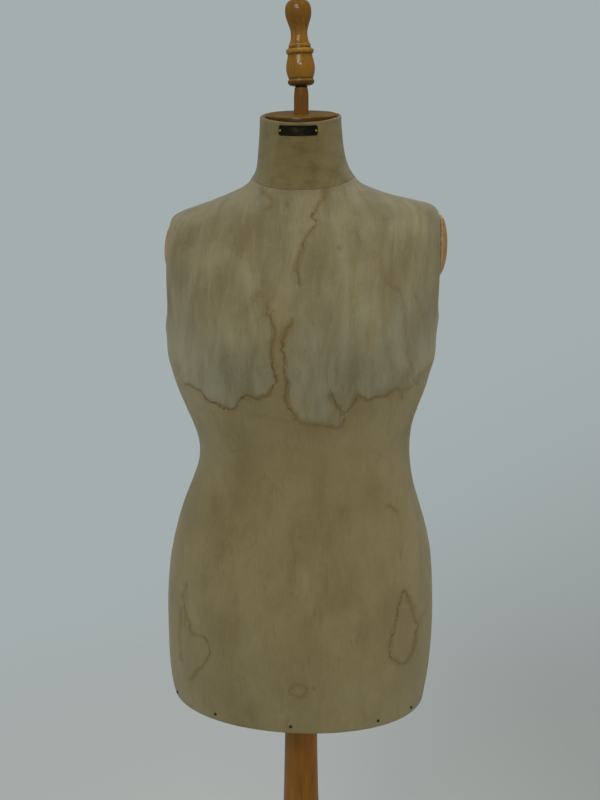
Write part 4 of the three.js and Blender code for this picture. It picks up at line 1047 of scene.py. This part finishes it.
turned("finial_turned", socket + [(r, FINIAL_Z + h, *hard) for r, h, *hard in FINIAL],
       "finial", "finial", "finial", segments=96, steps=4,
       lean=(math.radians(-2.5), FINIAL_FOOT), wobble=0.006)

ROD = [
    (0, 400, 1), (8.0, 400, 1), (9.0, 401, 1), (8.95, 700), (8.95, 1300), (8.95, 1480),
    (9.0, 1500), (9.0, 1536.5, 1), (8.0, ROD_TOP, 1), (4.0, ROD_TOP, 1), (4.0, ROD_TOP + 29, 1),
    (3.2, ROD_TOP + 30.2, 1), (0, ROD_TOP + 30.2, 1),
]
turned("rod_turned", ROD, "rod", "rod", "rod", segments=64, steps=10)
WASHER = [
    (4.4, ROD_TOP + 0.3, 1), (7.2, ROD_TOP + 0.3), (7.7, ROD_TOP + 1.2), (7.3, ROD_TOP + 2.3),
    (4.4, ROD_TOP + 2.3, 1), (4.4, ROD_TOP + 0.3, 1),
]
turned("finial_washer_leather", WASHER, "leather", "finial_washer", "finial_washer",
       segments=48)

HUB_FOOT = PLATE_Z + 4.3
HUB_TOP = HUB_FOOT + 112
COLUMN_TOP = 731.0
COLUMN = [
    (0, HUB_FOOT, 1), (38, HUB_FOOT, 1), (40, HUB_FOOT + 2, 1), (40, HUB_TOP - 4, 1),
    (38.6, HUB_TOP - 1), (35.5, HUB_TOP + 1.5, 1), (33.6, HUB_TOP + 3.5), (33.0, HUB_TOP + 7, 1),
    (34.6, HUB_TOP + 9.5), (37.0, HUB_TOP + 14), (37.7, HUB_TOP + 19), (36.6, HUB_TOP + 24.5),
    (34.0, HUB_TOP + 28, 1), (31.4, HUB_TOP + 30.5), (30.1, HUB_TOP + 37), (30.4, HUB_TOP + 48),
    (31.8, HUB_TOP + 66), (33.2, 300), (33.6, 340), (32.4, 400), (30.1, 460), (27.7, 515),
    (25.4, 558), (24.0, 610), (23.0, 662), (22.4, COLUMN_TOP - 33.4, 1),
    (19.2, COLUMN_TOP - 33, 1), (19.2, COLUMN_TOP - 1, 1), (18.2, COLUMN_TOP, 1),
    (9.4, COLUMN_TOP, 1), (9.4, 380, 1), (0, 380, 1),
]
turned("column_turned", COLUMN, "column", "stand", "column", segments=96, steps=5)

ARM_DISC = [
    (0, 0.35, 1), (36.6, 0.35, 1), (37.7, 1.2), (38.0, 2.4), (37.8, 3.8), (36.9, 4.9),
    (35.4, 5.4, 1), (34.6, 6.2), (31.5, 7.9), (27.0, 9.5), (21.0, 11.1), (14.0, 12.2),
    (7.0, 12.75), (0, 12.9),
]
# side, its sign along X, distance from the middle, height, thickness of the disc
for tag, sign, arm_x, arm_z, thick in (("left", 1, ARM_X_LEFT, 1354.0, 12.0),
                                       ("right", -1, ARM_X_RIGHT, 1344.0, 14.6)):
    stretch = thick / ARM_DISC[-1][1]
    profile = [(r, h * (stretch if h > 2 else 1), *hard) for r, h, *hard in ARM_DISC]
    turned("arm_disc_" + tag, profile, "arm_disc", "torso", "arm_cap_" + tag, segments=96,
           steps=5, direction=(sign, 0, 0), at=(sign * arm_x, ARM_Y, arm_z))


# ------------------------------------------------------------------ sawn shapes and legs
def bezier(p0, p1, p2, p3, count):
    """Points on a cubic curve, without its start."""
    t = np.linspace(0, 1, count + 1)[1:, None]
    p0, p1, p2, p3 = map(np.array, (p0, p1, p2, p3))
    return ((1 - t) ** 3 * p0 + 3 * (1 - t) ** 2 * t * p1 + 3 * (1 - t) * t * t * p2
            + t ** 3 * p3)


def slab(name, outline, thick, radius, axes, at, finish, body, steps, flat_to=-math.inf):
    """Board from an anticlockwise outline in (u, v), rounded over on both faces.

    axes maps (u, v, w) to the row frame. Points with u below flat_to aren't rounded.
    """
    before = outline - np.roll(outline, 1, 0)
    after = np.roll(outline, -1, 0) - outline
    left_a, left_b = (np.stack([-e[:, 1], e[:, 0]], 1)
                      / (np.linalg.norm(e, axis=1, keepdims=True) + 1e-9)
                      for e in (before, after))
    inward = left_a + left_b
    inward /= np.linalg.norm(inward, axis=1, keepdims=True) + 1e-9
    reach = (outline[:, 0] >= flat_to) / np.maximum((inward * left_a).sum(1), 0.6)
    layers = []
    for k in range(steps + 1):
        f = PI / 2 * k / steps
        layers.append((radius * (1 - math.sin(f)), -thick / 2 + radius * (1 - math.cos(f))))
    layers += [(inset, -w) for inset, w in layers[::-1]]
    count = len(outline)
    V, worn = [], []
    for inset, w in layers:
        ring = outline + inward * (inset * reach)[:, None]
        V.append(np.column_stack([ring, np.full(count, w)]))
        worn += [0.55 if 0.02 < inset < radius * 0.8 else 0.0] * count
    V = np.concatenate(V)
    faces = []
    for low in range(0, len(V) - count, count):
        for i in range(count):
            j = (i + 1) % count
            faces.append((low + i, low + j, low + count + j, low + count + i))
    faces.append(tuple(range(count))[::-1])
    faces.append(tuple(range(len(V) - count, len(V))))
    # the grain runs down the slope of a leg
    c, s = math.cos(math.radians(36)), math.sin(math.radians(36))
    grain = xyz(V[:, 0] * c - V[:, 1] * s, V[:, 0] * s + V[:, 1] * c, V[:, 2]) / 1000
    V = V @ np.array(axes, float).T + np.array(at, float)
    attrs = {"edge": worn, "cav": [0.0] * len(V), "gr": grain}
    return add_piece(name, V, faces, finish, body, attrs, sharp=35)


LEG_THICK, LEG_REACH = 28.0, 285.0
HUB_FLAT = 36.0             # flats on the hub, from the axis
BOLT_Z, BOLT_HEAD_R = 140.0, 96.0
GLIDE_R, PLATE_SCREW_R = 266.0, 60.0
FOOT_Z = 4.1
LEG_BACK = HUB_FLAT + 0.3
LEG_TOP, LEG_LOW = HUB_TOP - 6, HUB_FOOT + 0.2
# outline in distance from the axis and height
LEG = np.concatenate([
    [[LEG_BACK, LEG_LOW]],
    [[LEG_BACK + 22, LEG_LOW]],
    bezier((LEG_BACK + 22, LEG_LOW), (110, LEG_LOW + 4), (150, 62), (196, 26), 22),
    bezier((196, 26), (214, 12), (232, FOOT_Z), (252, FOOT_Z), 12),
    [[LEG_REACH - 6, FOOT_Z]],
    bezier((LEG_REACH - 6, FOOT_Z), (LEG_REACH + 5, FOOT_Z), (LEG_REACH + 8, 20),
           (LEG_REACH - 4, 27), 12),
    bezier((LEG_REACH - 4, 27), (268, 34), (248, 36), (230, 50), 12),
    bezier((230, 50), (190, 84), (168, 138), (118, 164), 22),
    bezier((118, 164), (96, 175), (84, LEG_TOP - 4), (66, LEG_TOP), 12),
    [[LEG_BACK, LEG_TOP]],
])
LEG_BOLT = [
    (0, HUB_FLAT - 22, 1), (2.4, HUB_FLAT - 21, 1), (3.3, HUB_FLAT - 18, 1),
    (3.3, BOLT_HEAD_R + 0.3, 1), (6.4, BOLT_HEAD_R + 0.3, 1), (6.6, BOLT_HEAD_R + 0.9),
    (6.0, BOLT_HEAD_R + 2.8), (4.2, BOLT_HEAD_R + 4.2), (2.0, BOLT_HEAD_R + 4.8),
    (0, BOLT_HEAD_R + 4.9),
]
GLIDE = [
    (0, 0.0, 1), (9.2, 0.0, 1), (10.4, 0.5), (11, 1.6), (10.9, 3.0), (10.2, 3.7, 1),
    (1.9, 3.9, 1), (1.9, 15, 1), (0, 17, 1),
]
PLATE_SCREW = [
    (0, -2.4), (2.0, -2.2), (3.7, -1.2), (4.5, -0.1), (4.5, 0, 1), (2.1, 0, 1), (2.1, 18, 1),
    (0, 20, 1),
]


def bore(obj, direction, radius, start, end, height):
    """Cuts the counterbore for a leg bolt's head, from start to end along the direction."""
    mesh = bpy.data.meshes.new("tool")
    bm = bmesh.new()
    bmesh.ops.create_cone(bm, cap_ends=True, segments=40, radius1=radius / 1000,
                          radius2=radius / 1000, depth=(end - start) / 1000)
    turn = Vector((0, 0, 1)).rotation_difference(Vector(direction))
    middle = Vector(direction) * ((start + end) / 2000)
    middle += Vector((0, 0, (height - PLATE_Z) / 1000))
    bm.transform(Matrix.Translation(middle) @ turn.to_matrix().to_4x4())
    bm.to_mesh(mesh)
    bm.free()
    tool = link_object("tool", mesh)
    cut = obj.modifiers.new("bore", "BOOLEAN")
    cut.object, cut.operation, cut.solver = tool, "DIFFERENCE", "EXACT"
    depsgraph = bpy.context.evaluated_depsgraph_get()
    result = bpy.data.meshes.new_from_object(obj.evaluated_get(depsgraph))
    obj.modifiers.clear()
    uncut = obj.data
    obj.data = result
    bpy.data.meshes.remove(uncut)
    bpy.data.objects.remove(tool)


def add_leg(number, degrees):
    """A leg with its bolt, its foot glide and a screw of the plate under the column."""
    c, s = math.cos(math.radians(degrees)), math.sin(math.radians(degrees))
    out = (c, s, 0.0)
    leg = slab(f"leg_sawn_{number}", LEG, LEG_THICK, 5.5, [[c, 0, -s], [s, 0, c], [0, 1, 0]],
               (0, 0, 0), "leg", "stand", steps=5, flat_to=LEG_BACK + 0.5)
    bore(leg, out, radius=7.2, start=BOLT_HEAD_R, end=220, height=BOLT_Z)
    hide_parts(f"leg_{number}")
    turned(f"leg_bolt_round_{number}", LEG_BOLT, "steel", "stand", f"leg_bolt_{number}",
           segments=40, direction=out, at=(0, 0, BOLT_Z))
    turned(f"glide_{number}", GLIDE, "steel", "stand", f"foot_glide_{number}", segments=48,
           at=(c * GLIDE_R, s * GLIDE_R, 0))
    turned(f"plate_screw_round_{number}", PLATE_SCREW, "steel", "stand",
           f"spider_screw_{number}", segments=32,
           at=(c * PLATE_SCREW_R, s * PLATE_SCREW_R, PLATE_Z - 0.3))


for leg_number, leg_angle in enumerate((90, 210, 330), 1):
    add_leg(leg_number, leg_angle)

# ------------------------------------------------------------------ ferrule, clamp and collar
SLEEVE_LOW, SLEEVE_TOP = COLUMN_TOP - 33 + 0.3, COLUMN_TOP + 1.8
CLAMP_Z = 712
SLEEVE = [
    (19.4, SLEEVE_LOW, 1), (21.2, SLEEVE_LOW, 1), (21.8, SLEEVE_LOW + 0.7),
    (21.9, SLEEVE_LOW + 2.2), (21.4, SLEEVE_LOW + 3.2, 1), (21.2, SLEEVE_LOW + 3.8),
    (21.2, SLEEVE_TOP - 5.4), (21.5, SLEEVE_TOP - 4.6, 1), (21.9, SLEEVE_TOP - 3.4),
    (21.7, SLEEVE_TOP - 1.8), (20.6, SLEEVE_TOP - 0.3), (19.4, SLEEVE_TOP),
    (10.2, SLEEVE_TOP, 1), (9.8, SLEEVE_TOP - 0.3, 1), (9.8, COLUMN_TOP + 0.3, 1),
    (19.4, COLUMN_TOP + 0.3, 1), (19.4, SLEEVE_LOW, 1),
]
turned("ferrule_sleeve", SLEEVE, "brass", "stand", "column_ferrule")
BOSS = [
    (4.35, 20.8, 1), (10.4, 20.8, 1), (9.6, 22.2), (9.4, 24.0), (9.5, 27.0), (9.0, 28.2),
    (8.0, 28.6), (4.9, 28.6, 1), (4.35, 28.1, 1), (4.35, 20.8, 1),
]
turned("ferrule_boss", BOSS, "brass", "stand", segments=48, direction=(0, 1, 0),
       at=(0, 0, CLAMP_Z))
THREAD = [point for y in np.arange(16.4, 33.5, 1.25)
          for point in ((4.1, y), (3.55, y + 0.55), (4.1, y + 1.1))]
STEM = [
    (0, 14.8, 1), (3.4, 14.8, 1), (4.1, 15.6, 1), *THREAD, (4.1, 35.4, 1), (6.6, 36.4),
    (8.0, 38.2), (8.3, 41.0), (8.2, 46.4), (7.2, 49.0), (4.6, 50.6), (0, 51.0),
]
turned("clamp_stem", STEM, "brass", "clamp_screw", "clamp_screw", segments=48, steps=2,
       direction=(0, 1, 0), at=(0, 0, CLAMP_Z))
WING = np.concatenate([
    [[0, -4.5], [9, -4.2]],
    bezier((9, -4.2), (14, -5), (20, -4), (21.5, 2), 12),
    bezier((21.5, 2), (22.5, 8), (17, 10.5), (13.5, 7.5), 12),
    bezier((13.5, 7.5), (10, 4.5), (6, 4.5), (0, 4.8), 10),
])
for tag, sign in (("a", 1), ("b", -1)):
    slab("clamp_wing_" + tag, WING, 5.0, 1.7, np.diag([sign, 1, 1]), (0, 43, CLAMP_Z),
         "brass", "clamp_screw", steps=4)
COLLAR = [
    (9.2, 736, 1), (16.4, 736, 1), (17.3, 736.5), (17.6, 737.6), (17.5, 742.6), (17.1, 743.7),
    (16.2, 744.2, 1), (9.2, 744.2, 1), (9.2, 736, 1),
]
turned("collar_round", COLLAR, "brass", "rod", "support_collar", segments=64)

BUSH_TOP = 748 - 0.3
BUSH = [
    (9.5, BUSH_TOP - 3, 1), (38.6, BUSH_TOP - 3, 1), (40.2, BUSH_TOP - 2.6),
    (40.8, BUSH_TOP - 1.6), (40.8, BUSH_TOP, 1), (9.5, BUSH_TOP, 1), (9.5, BUSH_TOP - 3, 1),
]
turned("bush_flange", BUSH, "brass", "torso", "base_bush", segments=80)
BASE_SCREW = [
    (0, -2.2), (1.8, -2.0), (3.0, -1.1), (3.7, -0.1), (3.7, 0, 1), (2.0, 0, 1), (2.0, 12, 1),
    (0, 14, 1),
]
BASE_SCREW_XY = 22.08
for i, (x, y) in enumerate(((1, 1), (-1, 1), (-1, -1), (1, -1)), 1):
    turned(f"base_screw_round_{i}", BASE_SCREW, "steel", "torso", f"base_screw_{i}",
           segments=28, at=(x * BASE_SCREW_XY, y * BASE_SCREW_XY, BUSH_TOP - 3.3))

# ------------------------------------------------------------------ hem tacks
TACK = [
    (0, -13, 1), (0.7, -11, 1), (0.7, 0.0, 1), (1.75, 0.0, 1), (1.95, 0.35), (1.8, 0.75),
    (1.4, 1.1), (0.75, 1.35), (0, 1.42),
]
TACK_Z = 751.0
TACK_ANGLES = [-2.74, -2.19, -1.594, -0.93, -0.516, 0.62, 1.50, 2.52]
for i, angle in enumerate(TACK_ANGLES, 1):
    tack_v = ring_at_height(TACK_Z, angle)
    out = surf_normal(tack_v, angle)
    turned(f"tack_{i}", TACK, "rust", "torso", f"hem_tack_{i}", segments=28, direction=out,
           at=surf(tack_v, angle) + out * 0.45)

# ------------------------------------------------------------------ name plate and pins
PLATE_COLUMNS, PLATE_ROWS = 64, 16
PLATE_V = (0.006, 0.626)    # top and foot, in rings
PLATE_HALF_ANGLE = 0.475


def name_plate():
    """Thin plate bent round the front of the neck, with rounded ends and a raised rim."""
    b = np.linspace(-1, 1, PLATE_ROWS + 1)[:, None]
    corner = np.maximum(0.0, (np.abs(b) - 0.55) / 0.45)
    reach = 1 - 0.10 * (1 - np.sqrt(np.maximum(0.0, 1 - corner * corner)))
    a = np.linspace(-1, 1, PLATE_COLUMNS + 1) * reach
    theta = -PI / 2 + PLATE_HALF_ANGLE * a
    v = (PLATE_V[0] + PLATE_V[1]) / 2 + (PLATE_V[1] - PLATE_V[0]) / 2 * b
    P, normal = surf(v, theta), surf_normal(v, theta)
    d_edge = np.minimum((1 - np.abs(b)) * 6.0, (reach - np.abs(a)) * 24.0)
    rim = 0.30 * bell(d_edge, 0.9, 0.5)
    dents = 0.05 * value_noise(P, 7, 51)
    face_lift = 1.15 - 0.35 * bell(d_edge, 0, 0.35) + rim + dents
    V = [P + normal * lift[..., None] for lift in (face_lift, 0.36 + dents)]
    smooth_back = np.zeros(rim.size)
    attrs = {"cav": np.append(0.6 * bell(d_edge, 1.9, 0.6), smooth_back),
             "edge": np.append(rim * 1.6, smooth_back)}
    index = np.arange(rim.size).reshape(rim.shape).T
    plate = add_piece("plate_curved", np.array(V).reshape(-1, 3), shell_faces(index), "plate",
                      "torso", attrs, sharp=50)
    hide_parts("name_plate")


name_plate()
PIN = [
    (0, -4.6, 1), (0.7, -3.4, 1), (0.7, 1.2, 1), (1.45, 1.2, 1), (1.6, 1.6), (1.35, 2.1),
    (0.8, 2.45), (0, 2.6),
]
PIN_V = 0.34
for tag, sign in (("right", -1), ("left", 1)):
    angle = -PI / 2 + sign * 0.43
    turned("pin_" + tag, PIN, "pin", "torso", "plate_pin_" + tag, segments=28,
           direction=surf_normal(PIN_V, angle), at=surf(PIN_V, angle))

# ------------------------------------------------------------------ CAD nodes that stay
KEPT = {"neck_block": "bare", "base_board": "bare", "arm_block_left": "bare",
        "arm_block_right": "bare", "arm_screw_left": "steel", "arm_screw_right": "steel",
        "collar_pin": "steel"}
for node, finish in KEPT.items():
    mesh = NODES[node].data
    mesh.materials.clear()
    mesh.materials.append(MATERIALS[finish])


# ------------------------------------------------------------------ CAD shapes finished further
def stand_in(name, node, finish, body):
    """New piece from a copy of a CAD node's mesh. The node itself isn't touched."""
    mesh = NODES[node].data.copy()
    mesh.name = name
    mesh.materials.clear()
    mesh.materials.append(MATERIALS[finish])
    obj = link_object(name, mesh)
    obj.matrix_world = NODES[node].matrix_world.copy()
    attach(obj, body)
    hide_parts(node)
    return obj


def papier_half(node):
    """Half of the shell; its outside sits deeper so the facets stay under the smooth linen."""
    obj = stand_in(node.replace("shell", "papier_half"), node, "papier", "torso")
    world = NODES[node].matrix_world
    outside = []
    for vertex in obj.data.vertices:
        place = world @ vertex.co
        if (world.to_3x3() @ vertex.normal).dot(Vector((place.x, place.y, 0))) > 0:
            outside.append(vertex.index)
    obj.vertex_groups.new(name="outside").add(outside, 1.0, "ADD")
    obj.modifiers.new("weld", "WELD").merge_threshold = 0.00002
    deeper = obj.modifiers.new("deeper", "DISPLACE")
    deeper.strength, deeper.mid_level, deeper.vertex_group = -0.0017, 0.0, "outside"


bpy.context.view_layer.update()
papier_half("front_shell")
papier_half("back_shell")
for node, finish, body in (("spider_plate", "steel", "stand"),
                           ("clamp_pad", "brass", "clamp_pad")):
    bevel = stand_in(node + "_eased", node, finish, body).modifiers.new("arris", "BEVEL")
    bevel.width, bevel.segments = 0.0005, 2
    bevel.limit_method, bevel.angle_limit = "ANGLE", math.radians(50)


# ------------------------------------------------------------------ floor
def floor_paint():
    """Pale paint with painted shade darker towards +X, that fades out to nothing away from the
    stand.
    """
    M = Material("floor_paint")
    obj = M.object_space()
    distance = M.node("VectorMath", {0: obj}, operation="LENGTH").outputs["Value"]
    fade = M.range(distance, (0.75, 2.3))
    x = M.node("SeparateXYZ", {"Vector": obj}).outputs[0]
    # painted shade: the floor colour darkens towards +X
    M.colour = M.mix(M.range(x, (-0.1, 0.9)), rgb(206, 207, 204), rgb(176, 177, 172))
    clear = M.node("BsdfTransparent").outputs[0]
    blend = M.node("MixShader", {0: fade, 1: M.bsdf.outputs[0], 2: clear})
    M.put(M.out.inputs[0], blend.outputs[0])
    return M.finish(Roughness=0.85)


FLOOR_R, FLOOR_SIDES = 2.4, 96      # metres
angles = [2 * PI * k / FLOOR_SIDES for k in range(FLOOR_SIDES)]
floor_mesh = bpy.data.meshes.new("floor")
floor_mesh.from_pydata(
    [(FLOOR_R * math.cos(t), FLOOR_R * math.sin(t), -PLATE_Z / 1000) for t in angles],
    [], [tuple(range(FLOOR_SIDES))])
floor = link_object("floor", floor_mesh)
floor_mesh.materials.append(floor_paint())

# ------------------------------------------------------------------ backdrop, lights, camera
scene = bpy.context.scene
scene.view_settings.view_transform = "Standard"
scene.view_settings.look = "None"
scene.view_settings.exposure = 0.0


def backdrop():
    """Grey studio with painted shade, a little darker low down and towards +X; reflections see a
    warmer room.
    """
    world = bpy.data.worlds.new("studio")
    scene.world = world
    world.use_nodes = True
    W = Shader(world.node_tree)
    view = W.node("TexCoord").outputs["Generated"]
    # painted shade on the backdrop: darker low down and towards +X
    toward = W.node("VectorMath", {0: view, 1: (0.45, 0.0, -0.80)}, operation="DOT_PRODUCT")
    darker = W.range(toward.outputs["Value"], (0.18, 0.62))
    seen = W.mix(darker, rgb(165, 174, 175), rgb(139, 144, 142))
    ray = W.node("LightPath").outputs
    background = world.node_tree.nodes["Background"]
    W.put(background.inputs[0], W.mix(ray["Is Glossy Ray"], seen, rgb(112, 106, 92)))
    # diffuse light from the backdrop is held back
    strength = W.range(ray["Is Diffuse Ray"], (0.0, 1.0), to=(1.0, 0.80), kind="LINEAR")
    W.put(background.inputs[1], strength)


def area_light(name, at, aim_z, size, energy, colour=(1, 1, 1), shine=False):
    """Round light aimed at a height on the axis; shine lets it show in reflections."""
    light = bpy.data.lights.new(name, "AREA")
    light.shape, light.size, light.energy, light.color = "DISK", size, energy, colour
    obj = bpy.data.objects.new(name, light)
    obj.location = at
    obj.rotation_mode = "QUATERNION"
    obj.rotation_quaternion = (Vector((0, 0, aim_z)) - Vector(at)).to_track_quat("-Z", "Y")
    scene.collection.objects.link(obj)
    obj.visible_glossy = shine


backdrop()
area_light("key", (-0.6, -2.4, 3.05), aim_z=1.05, size=1.3, energy=23.0,
           colour=(1.0, 0.985, 0.955), shine=True)
area_light("side", (-2.4, -0.4, 1.7), aim_z=1.05, size=1.2, energy=6.0)
area_light("fill", (2.5, -0.8, 1.7), aim_z=1.05, size=1.5, energy=17.5,
           colour=(0.985, 0.99, 1.0))
area_light("top", (0.1, 0.1, 3.2), aim_z=1.2, size=1.2, energy=8.0, colour=(1.0, 1.0, 0.985))
area_light("back", (0.8, 2.6, 2.4), aim_z=1.0, size=1.8, energy=17.0)
area_light("glint", (0.10, -1.9, 2.2), aim_z=1.5, size=0.10, energy=1.8, shine=True)

CAMERA_YAW, CAMERA_PITCH = math.radians(4.2), math.radians(12.95)
CAMERA_DISTANCE, CAMERA_Z = 1.282, 1.447 - PLATE_Z / 1000
CAMERA_TURN = 0.0012        # radians, aim off the axis
camera_data = bpy.data.cameras.new("camera")
camera_data.sensor_width, camera_data.lens = 36.0, 45.0
camera = bpy.data.objects.new("camera", camera_data)
camera.location = (CAMERA_DISTANCE * math.sin(CAMERA_YAW),
                   -CAMERA_DISTANCE * math.cos(CAMERA_YAW), CAMERA_Z)
camera.rotation_euler = (PI / 2 - CAMERA_PITCH, 0, CAMERA_YAW + CAMERA_TURN)
scene.collection.objects.link(camera)
scene.camera = camera

bpy.context.view_layer.update()
